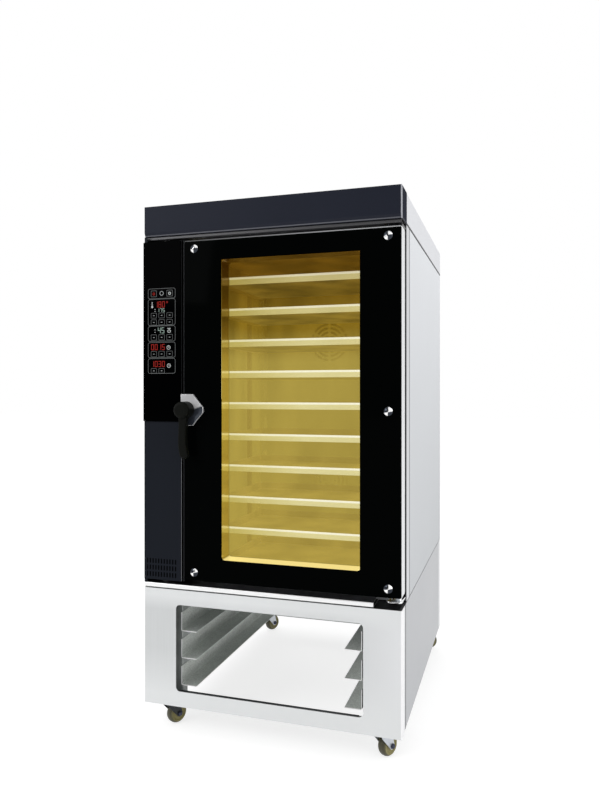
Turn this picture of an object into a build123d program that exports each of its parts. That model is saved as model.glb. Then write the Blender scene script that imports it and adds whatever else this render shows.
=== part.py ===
from build123d import *
import math
import os

# Convection oven for ten baking trays, on an open stand with four casters.
# Millimetres. +X is to the right as seen from the front, +Y to the back, +Z up.
# The origin is on the floor, midway between the sides, and midway from the handle to the flue stub.

# Whole oven
width = 940.0
depth = 1165.0
sheet = 1.5
bend = 3.0
seam = 3.0
part_gap = 0.4
fit_gap = 0.05

# Stand
skirt_height = 97.0
stand_height = 418.0
corner_return = 60.0
stand_post_width = 128.0
stand_opening_sill = 55.0
stand_opening_head = 53.0
stand_opening_radius = 16.0
stand_opening_return = 16.0
deck_thickness = 2.0
deck_flange = 28.0
runner_inset = 9.0
runner_ledge = 60.0
runner_web = 66.0
runner_thickness = 2.0
runner_levels = 3
runner_rise = 16.0
runner_pitch = 97.5
runner_end_gap = 24.0
post_width = 40.0
post_thickness = 2.0

# Casters
wheel_diameter = 75.0
wheel_width = 32.0
hub_width = 35.0
axle_radius = 5.0
caster_trail = 28.0
caster_heading = 62.4
rear_right_heading = 12.0
caster_inset_x = 75.0
caster_inset_y = 57.5
caster_height = 103.0
top_plate_thickness = 3.0
top_plate_length = 92.0
top_plate_width = 66.0
plate_hole_radius = 4.2
plate_hole_inset = 11.0
race_radius = 19.0
race_height = 5.5
kingpin_radius = 6.0
kingpin_head_radius = 9.5
kingpin_head_height = 6.1
fork_thickness = 2.5
fork_inside = 36.0
fork_crown_radius = 24.0
fork_crown_thickness = 4.5
fork_crown_drop = 16.0
fork_foot_radius = 12.0
channel_width = 110.0
channel_depth = 8.0
channel_thickness = 4.0
nut_size = 8.5
nut_height = 6.0

# Cabinet
rail_height = 17.0
rail_right_gap = 94.0
hood_height = 108.0
hood_depth = 105.0
lip_height = 13.0
lip_setback = 12.0
door_gap_below = 19.0
door_gap_above = 3.0
front_frame_depth = 95.0
frame_return = 62.0
rear_return = 25.0
side_flange = 18.0
corner_flange = 12.0
fascia_corner_radius = 2.5
fascia_lip = 12.5
hem_height = 13.5
hem_setback = 6.0

# Control column
column_width = 148.0
trim_width = 11.5
control_glass_height = 648.0
control_glass_thickness = 6.0
control_glass_proud = 6.0
vent_columns = 11
vent_rows = 3
vent_slot_width = 5.0
vent_slot_height = 18.0
vent_pitch_x = 11.3
vent_pitch_z = 24.0
vent_sill = 10.0
gear_tray_setback = 14.0
gear_tray_flange = 12.0
gear_tray_thickness = 2.0
contactor_count = 3
contactor_pitch = 90.0
terminal_ways = 6
terminal_pitch = 13.4
lower_cover_sill = 12.0

# Door
door_side_gap = 2.5
door_right_gap = 2.0
door_height = 1210.0
door_thickness = 76.0
glass_thickness = 6.0
front_sheet = 2.0
window_left_stile = 141.0
window_right_stile = 137.0
window_sill = 78.0
window_head = 73.0
window_radius = 12.0
stile_width = 60.0
inner_glass_thickness = 5.0
inner_glass_lap = 12.0
cap_radius = 15.0
cap_height = 7.0
cap_stud_radius = 5.0
cap_inset_x = 38.0
cap_right_inset = 43.0
cap_inset_z = 30.0
gasket_width = 12.0
gasket_wall = 2.5

# Hinges
hinge_inset = 18.0
hinge_pin_radius = 8.0
hinge_bracket_thickness = 6.0
hinge_bracket_width = 53.0
hinge_pin_reach = 26.0
hinge_bracket_nose = 24.0
hinge_bracket_inset = 2.0
hinge_spacer_radius = 13.0
lower_spacer_height = 14.0
upper_spacer_height = 3.0

# Handle and latch
handle_rise = 607.0
handle_inset = 13.0
hub_radius = 30.0
hub_reach = 60.0
hub_gap = 1.0
lever_length = 171.0
lever_width = 30.0
lever_thickness = 20.0
lever_gap = 28.0
spindle_radius = 8.0
spindle_hole_gap = 3.0
latch_plate_thickness = 9.0
latch_plate_width = 87.0
latch_plate_height = 111.0
latch_plate_flat = 47.0
tongue_thickness = 8.0
tongue_reach = 11.5
keeper_width = 26.0
keeper_gap = 2.4
keeper_thickness = 2.0
tongue_gap = 2.0
socket_cover = 14.0

# Chamber
mouth_left_stile = 60.0
mouth_right_stile = 56.0
mouth_foot = 23.0
mouth_head = 47.0
fan_space = 159.0
rear_slab = 59.5
top_slab_height = 62.0
baffle_side_gap = 22.0
baffle_flange = 26.0
baffle_side_slots = 8
grille_rings = 4
grille_first_radius = 24.0
grille_ring_pitch = 17.0
grille_webs = 6
grille_web = 9.0
grille_slot = 9.0

# Trays and rack
tray_count = 10
tray_side_room = 30.0
tray_back_room = 18.0
tray_rise = 36.0
tray_head_room = 70.8
tray_depth = 400.0
tray_height = 25.0
tray_sheet = 1.2
tray_rim = 5.0
tray_front = 27.0
rack_ledge = 30.0
rack_web = 14.0
rack_post_depth = 13.0
rack_post_width = 24.0

# Fans, heaters and motors
fan_count = 2
fan_radius = 130.0
fan_width = 62.0
fan_blades = 14
fan_eye_radius = 88.0
fan_hub_radius = 20.0
fan_hub_length = 38.0
fan_sheet = 2.5
shaft_radius = 8.0
fan_behind_baffle = 60.0
heater_radius = 168.0
heater_tube = 6.0
heater_sleeve = 7.0
heater_loops = 2
heater_spacing = 34.0
lamp_width = 48.0
lamp_height = 72.0
lamp_depth = 34.0
lens_thickness = 6.0
motor_radius = 68.0
motor_length = 200.0
motor_fins = 20
motor_flange = 70.0
motor_flange_thickness = 8.0
motor_fin_depth = 9.0
motor_cowl = 48.0
shaft_in_motor = 60.0

# Rear services
rear_slot_length = 110.0
rear_slot_height = 9.0
rear_slot_columns = 2
rear_slot_rows = 6
rear_slot_pitch_x = 150.0
rear_slot_pitch_z = 22.0
flue_radius = 40.0
flue_wall = 2.0
flue_reach = 40.0
flue_flange = 60.0
flue_flange_thickness = 2.0
gland_bore = 9.0
gland_wall = 3.0
gland_nut_step = 8.5
gland_nut_height = 9.0
gland_reach = 22.0
inlet_radius = 10.4
inlet_reach = 26.0
inlet_bore = 6.0
inlet_collar = 6.0
valve_depth = 110.0
water_line_radius = 4.0

# Sizes worked out from those above
stand_opening_width = width - 2 * stand_post_width
stand_opening_height = stand_height - stand_opening_sill - stand_opening_head
runner_clear_width = stand_opening_width - 2 * (runner_inset + runner_ledge)
runner_first = stand_opening_sill + runner_rise
rail_end = width - rail_right_gap
door_sill = stand_height + seam + rail_height + door_gap_below
door_left = column_width + trim_width + door_side_gap
door_width = width - door_left - door_right_gap
window_left = door_left + window_left_stile
window_width = door_width - window_left_stile - window_right_stile
window_height = door_height - window_sill - window_head
handle_height = door_sill + handle_rise
mouth_left = door_left + mouth_left_stile
mouth_width = door_width - mouth_left_stile - mouth_right_stile
mouth_sill = door_sill + mouth_foot
mouth_height = door_height - mouth_foot - mouth_head
tray_width = mouth_width - 2 * tray_side_room
tray_first = mouth_sill + tray_rise
tray_pitch = (mouth_height - tray_rise - tray_head_room) / (tray_count - 1)
baffle_distance = tray_front + tray_depth + tray_back_room
chamber_depth = baffle_distance + fan_space
bulkhead_depth = front_frame_depth + sheet + chamber_depth + rear_slab

# Places worked out from the sizes above
total_depth = hub_reach + depth + flue_reach
glass_y = hub_reach - total_depth / 2
rear_y = glass_y + depth
mid_y = glass_y + depth / 2
left_x = -width / 2
right_x = width / 2
stand_top = skirt_height + stand_height
cabinet_bottom = stand_top + seam
rail_top = cabinet_bottom + rail_height
door_bottom = skirt_height + door_sill
door_top = door_bottom + door_height
lip_bottom = door_top + door_gap_above + 9.0
hood_bottom = lip_bottom + lip_height
total_height = hood_bottom + hood_height
side_top = hood_bottom - 2.0
frame_y = glass_y + front_frame_depth
side_front_y = frame_y + frame_return + 2.0
side_rear_y = rear_y - rear_return
door_x = (left_x + door_left, left_x + door_left + door_width)
door_z = (door_bottom, door_top)
door_back_y = glass_y + door_thickness
window_x = (left_x + window_left, left_x + window_left + window_width)
window_z = (door_bottom + window_sill, door_bottom + window_sill + window_height)
mouth_x = (left_x + mouth_left, left_x + mouth_left + mouth_width)
mouth_z = (skirt_height + mouth_sill, skirt_height + mouth_sill + mouth_height)
mouth_mid_x = sum(mouth_x) / 2
chamber_front_y = frame_y + sheet
chamber_back_y = chamber_front_y + chamber_depth
baffle_y = chamber_front_y + baffle_distance
bulkhead_y = glass_y + bulkhead_depth
hinge_x = door_x[1] - hinge_inset
hinge_y = glass_y + door_thickness / 2
handle_x = door_x[0] + handle_inset
handle_z = skirt_height + handle_height
column_x = (left_x, left_x + column_width)
trim_x = (column_x[1] + 0.5, column_x[1] + 0.5 + trim_width)
fan_y = baffle_y + fan_behind_baffle
motor_y = bulkhead_y + 2.0


def middle(span):
    return (span[0] + span[1]) / 2


def length(span):
    return span[1] - span[0]


def block(x, y, z):
    """A box between three pairs of limits."""
    return Pos(middle(x), middle(y), middle(z)) * Box(length(x), length(y), length(z))


def along_x(profile, x):
    """A profile drawn as (y, z), extruded from x[0] to x[1]."""
    return extrude(Plane.YZ.offset(x[0]) * profile, amount=length(x))


def along_y(profile, y):
    """A profile drawn as (x, z), extruded from y[0] to y[1]."""
    return extrude(Plane.XZ.offset(-y[0]) * profile, amount=-length(y))


def along_z(profile, z):
    """A profile drawn as (x, y), extruded from z[0] to z[1]."""
    return extrude(Plane.XY.offset(z[0]) * profile, amount=length(z))


def panel_outline(across, up, radius):
    """A rectangle with round corners between two pairs of limits."""
    place = Pos(middle(across), middle(up))
    return place * RectangleRounded(length(across), length(up), radius)


def folded(points, thickness=sheet, radius=bend):
    """The section of a folded sheet that runs along the given middle line."""
    return trace(FilletPolyline(*points, radius=radius), line_width=thickness)


def rod_y(x, z, radius, y):
    return along_y(Pos(x, z) * Circle(radius), y)


def rod_z(x, y, radius, z):
    return along_z(Pos(x, y) * Circle(radius), z)


def mirrored_x(part):
    return mirror(part, about=Plane.YZ)


def to_rear(part):
    return mirror(part, about=Plane.XZ.offset(-mid_y))


# Stand

def stand_front_panel():
    half = width / 2 - sheet / 2
    front = glass_y + sheet / 2
    back = glass_y + corner_return
    section = folded([(-half, back), (-half, front), (half, front), (half, back)])
    panel = along_z(section, (skirt_height, stand_top))
    sill = skirt_height + stand_opening_sill
    outline = panel_outline(
        (-stand_opening_width / 2, stand_opening_width / 2),
        (sill, sill + stand_opening_height),
        stand_opening_radius,
    )
    panel -= along_y(outline, (glass_y - 5, glass_y + 5))
    straight = stand_opening_width / 2 - stand_opening_radius
    y = (glass_y, glass_y + stand_opening_return)
    sill_return = block((-straight, straight), y, (sill - sheet, sill))
    head = sill + stand_opening_height
    head_return = block((-straight, straight), y, (head, head + sheet))
    return panel + sill_return + head_return


def stand_side():
    front = glass_y + corner_return
    rear = rear_y - corner_return
    outside = right_x - sheet / 2
    hem = 16.0
    low = skirt_height + sheet / 2
    section = folded([(outside - hem, low), (outside, low), (outside, stand_top)])
    return along_y(section, (front, rear))


def stand_deck():
    half = width / 2 - sheet - bend - deck_thickness / 2
    top = stand_top - deck_thickness / 2
    foot = stand_top - deck_flange
    section = folded(
        [(-half, foot), (-half, top), (half, top), (half, foot)], deck_thickness, 3.0
    )
    return along_y(section, (glass_y + sheet, rear_y - sheet))


def caster_channel():
    half = channel_width / 2 - channel_thickness / 2
    y = glass_y + caster_inset_y
    top = caster_height + channel_thickness / 2
    foot = caster_height + channel_thickness - channel_depth
    section = folded(
        [(y - half, foot), (y - half, top), (y + half, top), (y + half, foot)],
        channel_thickness,
        5.0,
    )
    inside = width / 2 - sheet
    return along_x(section, (-inside, inside))


def runner_web_x():
    return runner_clear_width / 2 + runner_ledge


def stand_runner(level):
    outer = runner_web_x() - runner_thickness / 2
    inner = runner_clear_width / 2
    ledge = skirt_height + runner_first + level * runner_pitch - runner_thickness / 2
    section = folded(
        [(inner, ledge), (outer, ledge), (outer, ledge + runner_web)], runner_thickness, 3.0
    )
    return along_y(section, (glass_y + runner_end_gap, rear_y - runner_end_gap))


def runner_post():
    web_x = runner_web_x()
    inner = web_x + post_thickness / 2
    y = glass_y + caster_inset_y
    half = post_width / 2 - post_thickness / 2
    flange = inner + 28.0
    section = folded(
        [(flange, y - half), (inner, y - half), (inner, y + half), (flange, y + half)],
        post_thickness,
        3.0,
    )
    foot = caster_height + channel_thickness
    return along_z(section, (foot, stand_top - deck_thickness))


# Casters, drawn at the origin with the wheel trailing along +X, then turned to the heading

def caster_top_plate():
    plate_z = (caster_height - top_plate_thickness, caster_height)
    plate = along_z(RectangleRounded(top_plate_length, top_plate_width, 8), plate_z)
    hole_x = top_plate_length / 2 - plate_hole_inset
    hole_y = top_plate_width / 2 - plate_hole_inset
    holes = [
        rod_z(side * hole_x, end * hole_y, plate_hole_radius, plate_z)
        for side in (-1, 1)
        for end in (-1, 1)
    ]
    crown = fork_crown_top()
    under_crown = crown - fork_crown_thickness - part_gap
    foot = under_crown - kingpin_head_height
    race = rod_z(0, 0, race_radius, (crown + part_gap, plate_z[0]))
    pin = rod_z(0, 0, kingpin_radius, (foot, plate_z[0]))
    head = rod_z(0, 0, kingpin_head_radius, (foot, under_crown))
    return plate - holes + race + pin + head


def fork_crown_top():
    return caster_height - top_plate_thickness - race_height


def fork_leg_outline():
    """The side of a fork leg: wide at the crown, narrowing to a round end at the axle."""
    crown_z = fork_crown_top() - fork_crown_drop / 2
    crown = Pos(0, crown_z) * Rectangle(2 * fork_crown_radius, fork_crown_drop)
    foot = Pos(caster_trail, wheel_diameter / 2) * Circle(fork_foot_radius)
    return make_hull((crown + foot).edges())


def caster_fork():
    top = fork_crown_top()
    outside = fork_inside / 2 + fork_thickness
    legs = []
    for side in (-1, 1):
        inner = side * fork_inside / 2
        outer = side * outside
        legs.append(along_y(fork_leg_outline(), (min(inner, outer), max(inner, outer))))
    crown_z = (top - fork_crown_thickness, top)
    crown = along_z(RectangleRounded(2 * fork_crown_radius, 2 * outside, 4), crown_z)
    fork = crown + legs
    fork -= rod_z(0, 0, kingpin_radius + fit_gap, (crown_z[0] - 1, crown_z[1] + 1))
    reach = (-outside - 1, outside + 1)
    return fork - rod_y(caster_trail, wheel_diameter / 2, axle_radius, reach)


def caster_axle():
    outside = fork_inside / 2 + fork_thickness
    z = wheel_diameter / 2
    ends = outside + nut_height + 2.0
    axle = rod_y(caster_trail, z, axle_radius, (-ends, ends))
    for side in (-1, 1):
        near = side * outside
        far = side * (outside + nut_height)
        nut = Pos(caster_trail, z) * RegularPolygon(nut_size, 6)
        axle += along_y(nut, (min(near, far), max(near, far)))
    return axle


def caster_wheel():
    """A solid wheel with a rounded tread, dished sides and a raised hub."""
    radius = wheel_diameter / 2
    half = wheel_width / 2
    bore = axle_radius + fit_gap
    hub = 13.0
    dish = half - 4.0
    dish_edge = 24.0
    rim = 27.0
    shoulder = 31.0
    tread = (radius - 2.0, 0.68 * half)
    crown = 0.3 * half
    side = [(bore, hub_width / 2), (hub, hub_width / 2), (hub, dish), (dish_edge, dish)]
    side += [(rim, half), (shoulder, half), tread, (radius, crown)]
    other_side = [(x, -y) for x, y in reversed(side)]
    section = make_face(Polyline(*side, *other_side, close=True))
    return Pos(caster_trail, 0, radius) * revolve(section, Axis.Y)


def caster_places():
    """Name, kingpin place and heading of each caster, with the stand seen from the front."""
    x = width / 2 - caster_inset_x
    front = glass_y + caster_inset_y
    rear = rear_y - caster_inset_y
    return {
        "front_left": (-x, front, caster_heading),
        "front_right": (x, front, caster_heading),
        "rear_left": (-x, rear, caster_heading),
        "rear_right": (x, rear, rear_right_heading),
    }


def set_caster(part, place):
    return Pos(place[0], place[1], 0) * Rot(0, 0, place[2]) * part


def set_caster_plate(place):
    return Pos(place[0], place[1], 0) * caster_top_plate()


# Cabinet

def base_rail():
    """The bright rail under the door, which stops short of the lower hinge."""
    front = glass_y + sheet / 2
    top = rail_top - sheet / 2
    low = cabinet_bottom + sheet / 2
    section = folded([(frame_y, low), (front, low), (front, top), (frame_y, top)])
    return along_x(section, (left_x, left_x + rail_end))


def cabinet_pan():
    """The floor pan of the cabinet, which sits on the deck of the stand."""
    half = width / 2 - side_flange - sheet / 2
    low = stand_top + sheet / 2
    top = rail_top
    section = folded([(-half, top), (-half, low), (half, low), (half, top)])
    return along_y(section, (frame_y + sheet, side_rear_y))


def side_panel():
    outside = right_x - sheet / 2
    front = side_front_y + sheet / 2
    rear = side_rear_y - sheet / 2
    flange = right_x - side_flange
    section = folded([(flange, front), (outside, front), (outside, rear), (flange, rear)])
    return along_z(section, (cabinet_bottom, side_top))


def left_corner():
    """The stainless side of the control column, back to the left side panel."""
    outside = left_x + sheet / 2
    front = glass_y + sheet / 2
    back = side_front_y - seam
    flange = outside + corner_flange
    section = folded([(flange, front), (outside, front), (outside, back)])
    return along_z(section, (rail_top, side_top))


def front_frame():
    """The frame round the mouth, folded back along the right side of the cabinet."""
    outside = right_x - sheet / 2
    front = frame_y + sheet / 2
    back = frame_y + frame_return
    section = folded([(trim_x[0], front), (outside, front), (outside, back)])
    frame = along_z(section, (cabinet_bottom, side_top))
    hole = panel_outline(mouth_x, mouth_z, 6)
    return frame - along_y(hole, (frame_y - 5, frame_y + 5))


def hood_side(inset, foot):
    """The side outline of the hood, whose front slants back below its hem line."""
    front = glass_y + inset
    back = glass_y + hood_depth
    hem = hood_bottom + hem_height
    top = total_height - inset
    slant = front + hem_setback
    return Polygon(
        (slant, hood_bottom), (slant, foot), (back, foot), (back, top), (front, top), (front, hem),
        align=None,
    )


def hood_fascia():
    """The dark hood front, a folded cap with a top, two side returns and a slanting hem."""
    outer = along_x(hood_side(0.0, hood_bottom - 1), (left_x, right_x))
    outer &= block((left_x, right_x), (glass_y, glass_y + hood_depth), (hood_bottom, total_height))
    corners = [
        edge
        for edge in outer.edges()
        if edge.center().Y < glass_y + hem_setback and abs(edge.center().X) > width / 2 - bend
    ]
    outer = fillet(corners, fascia_corner_radius)
    inner_x = (left_x + sheet, right_x - sheet)
    hollow = along_x(hood_side(sheet, hood_bottom - 2), inner_x)
    lip_front = glass_y + hem_setback + sheet / 2
    lip = block(inner_x, (lip_front, lip_front + fascia_lip), (hood_bottom, hood_bottom + sheet))
    return outer - hollow + lip


def top_cover():
    half = width / 2 - sheet / 2
    top = total_height - sheet / 2
    section = folded([(-half, hood_bottom), (-half, top), (half, top), (half, hood_bottom)])
    front = glass_y + hood_depth
    cover = along_y(section, (front, rear_y))
    inside = (left_x + sheet, right_x - sheet)
    skirt = block(inside, (rear_y - sheet, rear_y), (hood_bottom, total_height - sheet))
    return cover + skirt


def under_hood_lip():
    """The recessed strip between the door top and the hood."""
    front = glass_y + lip_setback + sheet / 2
    low = lip_bottom + sheet / 2
    top = hood_bottom - sheet / 2
    section = folded([(frame_y, low), (front, low), (front, top), (frame_y, top)])
    return along_x(section, (left_x + sheet + 1, right_x - sheet - 1))


def rear_slot(x, z):
    """A slot that lets the motors' warm air out."""
    slot = Pos(x, z) * SlotOverall(rear_slot_length, rear_slot_height)
    return along_y(slot, (rear_y - 5, rear_y + 5))


def water_line_end():
    return (inlet_place()[0] + 120, mouth_z[1] - 60)


def water_line_hole(y):
    return rod_y(*water_line_end(), water_line_radius + 1.0, y)


def flue_place():
    return (right_x - 230.0, total_height - 190.0)


def gland_place():
    return (left_x + 120.0, cabinet_bottom + 120.0)


def inlet_place():
    return (left_x + 210.0, cabinet_bottom + 120.0)


def rear_cover():
    half = width / 2 - sheet / 2
    front = rear_y - rear_return
    back = rear_y - sheet / 2
    section = folded([(-half, front), (-half, back), (half, back), (half, front)])
    cover = along_z(section, (cabinet_bottom, side_top))
    slots = [
        rear_slot(
            (column - (rear_slot_columns - 1) / 2) * rear_slot_pitch_x,
            fan_z(fan) + (row - (rear_slot_rows - 1) / 2) * rear_slot_pitch_z,
        )
        for fan in range(fan_count)
        for column in range(rear_slot_columns)
        for row in range(rear_slot_rows)
    ]
    reach = (rear_y - 5, rear_y + 5)
    holes = [
        rod_y(*flue_place(), flue_radius - flue_wall, reach),
        rod_y(*gland_place(), gland_bore + gland_wall, reach),
        rod_y(*inlet_place(), inlet_radius, reach),
    ]
    return cover - slots - holes


def motor_bulkhead():
    """The sheet behind the insulation that carries the two fan motors."""
    inside = (left_x + sheet, right_x - sheet)
    wall = block(inside, (bulkhead_y, motor_y), (rail_top, total_height - sheet))
    wall = chamfer(wall.edges().filter_by(Axis.Y).group_by(Axis.Z)[-1], bend)
    holes = [
        rod_y(mouth_mid_x, fan_z(fan), 24, (bulkhead_y - 5, bulkhead_y + 5))
        for fan in range(fan_count)
    ]
    holes.append(water_line_hole((bulkhead_y - 5, bulkhead_y + 5)))
    return wall - holes


# Control column

def control_glass_z():
    top = door_top + door_gap_above
    return (top - control_glass_height, top)


def control_glass():
    y = (glass_y - control_glass_proud, glass_y - control_glass_proud + control_glass_thickness)
    x = (column_x[0], column_x[1])
    outline = panel_outline(x, control_glass_z(), 3)
    return along_y(outline, y)


def lower_cover():
    """The dark cover under the touch glass, with air slots at its foot."""
    z = (rail_top + lower_cover_sill, control_glass_z()[0] - 1.0)
    front = glass_y - sheet / 2
    back = glass_y + 26.0
    x = (column_x[0] + sheet, column_x[1] - sheet / 2)
    section = folded([(x[0], front), (x[1], front), (x[1], back)], sheet, 1.5)
    cover = along_z(section, z)
    reach = (glass_y - 5, glass_y + 5)
    first_x = left_x + 71.0 - (vent_columns - 1) * vent_pitch_x / 2
    slots = []
    for row in range(vent_rows):
        for column in range(vent_columns):
            x_slot = first_x + column * vent_pitch_x
            z_slot = z[0] + vent_sill + vent_slot_height / 2 + row * vent_pitch_z
            slot = Pos(x_slot, z_slot) * SlotOverall(
                vent_slot_height, vent_slot_width, rotation=90
            )
            slots.append(along_y(slot, reach))
    return cover - slots


def column_trim():
    """Two thin bright edges with a dark channel between them, beside the door."""
    thickness = 1.2
    front = glass_y + 1.0
    groove = glass_y + 9.0
    x = (trim_x[0] + thickness / 2, trim_x[1] - thickness / 2)
    z = (rail_top + lower_cover_sill, door_top + door_gap_above)
    section = folded(
        [(x[0], front), (x[0], groove), (x[1], groove), (x[1], front)], thickness, 0.7
    )
    wall = block((trim_x[0], trim_x[0] + thickness), (groove, frame_y), z)
    return along_z(section, z) + wall


def control_tray():
    """The mounting plate for the electrical gear, folded along both long edges."""
    x = (left_x + sheet + 1.0, trim_x[0] - 1.0)
    y = frame_y - gear_tray_setback
    edge = y - gear_tray_flange
    section = folded([(x[0], edge), (x[0], y), (x[1], y), (x[1], edge)], gear_tray_thickness, 2.5)
    return along_z(section, (rail_top + 30, side_top - 30))


def gear_tray_face():
    return frame_y - gear_tray_setback - gear_tray_thickness / 2


def display_board():
    z = (control_glass_z()[0] + 150, control_glass_z()[1] - 150)
    x = (column_x[0] + 14, column_x[1] - 14)
    board_y = (glass_y + 14, glass_y + 16)
    board = block(x, board_y, z)
    for place in (0.82, 0.56, 0.33, 0.12):
        window_z_mid = z[0] + place * length(z)
        cell = (window_z_mid - 12, window_z_mid + 12)
        board += block((x[0] + 18, x[0] + 66), (glass_y + 8, board_y[0]), cell)
    for sx in (x[0] + 8, x[1] - 8):
        for sz in (z[0] + 8, z[1] - 8):
            board += rod_y(sx, sz, 3.5, (glass_y, board_y[0]))
    return board


def contactors():
    parts = []
    for index in range(contactor_count):
        z = rail_top + 180 + index * contactor_pitch
        y = (gear_tray_face() - 55, gear_tray_face())
        body = block((left_x + 45, left_x + 90), y, (z, z + 62))
        nose = block((left_x + 52, left_x + 83), (y[0] - 8, y[0]), (z + 16, z + 46))
        parts.append(body + nose)
    return parts


def terminal_block():
    z = rail_top + 95
    y = (gear_tray_face() - 34, gear_tray_face())
    strip = block((left_x + 32, left_x + 112), y, (z, z + 42))
    for index in range(terminal_ways):
        x = left_x + 38.5 + index * terminal_pitch
        strip -= block((x - 3.5, x + 3.5), (y[0] - 1, y[0] + 16), (z + 26, z + 38))
    return strip


# Chamber

def chamber_side_wall():
    x = (mouth_x[1], mouth_x[1] + sheet)
    z = (mouth_z[0] - sheet, mouth_z[1] + sheet)
    return block(x, (chamber_front_y, chamber_back_y), z)


def lamp_places():
    """Front edge and middle height of each chamber lamp."""
    rise = length(mouth_z) / 4
    y = chamber_front_y + 14
    return [(y, mouth_z[0] + rise), (y, mouth_z[1] - rise)]


def chamber_ceiling():
    return block(
        mouth_x, (chamber_front_y, chamber_back_y), (mouth_z[1], mouth_z[1] + sheet)
    )


def chamber_floor():
    return block(
        mouth_x, (chamber_front_y, chamber_back_y), (mouth_z[0] - sheet, mouth_z[0])
    )


def fan_z(fan):
    share = (fan + 0.5) / fan_count
    return mouth_z[0] + share * length(mouth_z)


def chamber_back_wall():
    x = (mouth_x[0] - sheet, mouth_x[1] + sheet)
    z = (mouth_z[0] - sheet, mouth_z[1] + sheet)
    wall = block(x, (chamber_back_y, chamber_back_y + sheet), z)
    reach = (chamber_back_y - 5, chamber_back_y + 5)
    holes = []
    for fan in range(fan_count):
        holes.append(rod_y(mouth_mid_x, fan_z(fan), shaft_radius + 3, reach))
        for loop in range(heater_loops):
            for leg in heater_legs(fan, loop):
                holes.append(rod_y(*leg, heater_sleeve, reach))
    holes.append(water_line_hole(reach))
    return wall - holes


def ring_slots(fan):
    """Concentric arc slots that let air into the eye of a fan."""
    slots = []
    for ring in range(grille_rings):
        radius = grille_first_radius + ring * grille_ring_pitch
        sweep_angle = 360.0 / grille_webs - math.degrees((grille_web + grille_slot) / radius)
        for web in range(grille_webs):
            start = web * 360.0 / grille_webs - sweep_angle / 2
            arc = CenterArc((0, 0), radius, start, sweep_angle)
            slots.append(Pos(mouth_mid_x, fan_z(fan)) * SlotArc(arc, grille_slot))
    return slots


def air_baffle():
    """The sheet in front of the fans, with round intake grilles and side air slots."""
    x = (mouth_x[0] + baffle_side_gap, mouth_x[1] - baffle_side_gap)
    flange = baffle_y + baffle_flange
    front = baffle_y + sheet / 2
    half = sheet / 2
    section = folded(
        [(x[0] + half, flange), (x[0] + half, front), (x[1] - half, front), (x[1] - half, flange)]
    )
    baffle = along_z(section, mouth_z)
    reach = (baffle_y - 5, baffle_y + 5)
    cuts = [along_y(slot, reach) for fan in range(fan_count) for slot in ring_slots(fan)]
    pitch = length(mouth_z) / baffle_side_slots
    for row in range(baffle_side_slots):
        z = mouth_z[0] + (row + 0.5) * pitch
        for edge in (x[0] + 26, x[1] - 26):
            slot = Pos(edge, z) * SlotOverall(0.62 * pitch, 12, rotation=90)
            cuts.append(along_y(slot, reach))
    return baffle - cuts + baffle_tabs()


def baffle_tabs():
    """Tabs on the baffle's flanges that reach the chamber's side walls."""
    tabs = []
    lap = sheet / 2
    left = (mouth_x[0], mouth_x[0] + baffle_side_gap + lap)
    right = (mouth_x[1] - baffle_side_gap - lap, mouth_x[1])
    for x in (left, right):
        for z in (mouth_z[0] + 150, mouth_z[1] - 150):
            tabs.append(block(x, (baffle_y + 8, baffle_y + baffle_flange), (z, z + 2.0)))
    return tabs


def tray_bottom_z(index):
    return skirt_height + tray_first + index * tray_pitch - tray_height


def tray_y():
    front = chamber_front_y + tray_front
    return (front, front + tray_depth)


def baking_tray(index):
    """A pressed tray with leaning walls and a rolled rim."""
    y = tray_y()
    z = tray_bottom_z(index)
    taper = 4.0
    lean = tray_rim - tray_sheet

    def frustum(inset, z_low, z_high):
        wide = tray_width - 2 * (lean + inset)
        deep = tray_depth - 2 * (lean + inset)
        low = Plane.XY.offset(z_low) * Rectangle(wide - 2 * taper, deep - 2 * taper)
        high = Plane.XY.offset(z_high) * Rectangle(wide, deep)
        return loft([low, high])

    outer = frustum(0, 0, tray_height)
    inner = frustum(tray_sheet, tray_sheet, tray_height + tray_sheet * 0.05)
    rim_z = (tray_height - tray_rim, tray_height)
    rim = along_z(RectangleRounded(tray_width, tray_depth, 6), rim_z)
    hole = along_z(Rectangle(tray_width - 2 * tray_rim, tray_depth - 2 * tray_rim), rim_z)
    tray = (outer - inner) + (rim - hole)
    return Pos(mouth_mid_x, middle(y), z) * tray


def rack_post_x():
    return mouth_x[1] - rack_post_depth


def rack_post(y_middle):
    """A vertical channel on the chamber wall that carries the tray runners."""
    thickness = 1.2
    half = rack_post_width / 2 - thickness / 2
    face = rack_post_x() + thickness / 2
    section = folded(
        [
            (mouth_x[1], y_middle - half),
            (face, y_middle - half),
            (face, y_middle + half),
            (mouth_x[1], y_middle + half),
        ],
        thickness,
        1.5,
    )
    return along_z(section, (mouth_z[0], mouth_z[1] - 8))


def rack_post_rows():
    y = tray_y()
    return (y[0] + 60, y[1] - 60)


def rack_runner(index):
    thickness = 1.5
    outer = rack_post_x() - thickness / 2
    inner = rack_post_x() - rack_ledge
    ledge = tray_bottom_z(index) - thickness / 2
    section = folded(
        [(inner, ledge), (outer, ledge), (outer, ledge + rack_web)], thickness, 1.5
    )
    y = tray_y()
    return along_y(section, (y[0] - 12, y[1] + 6))


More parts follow.
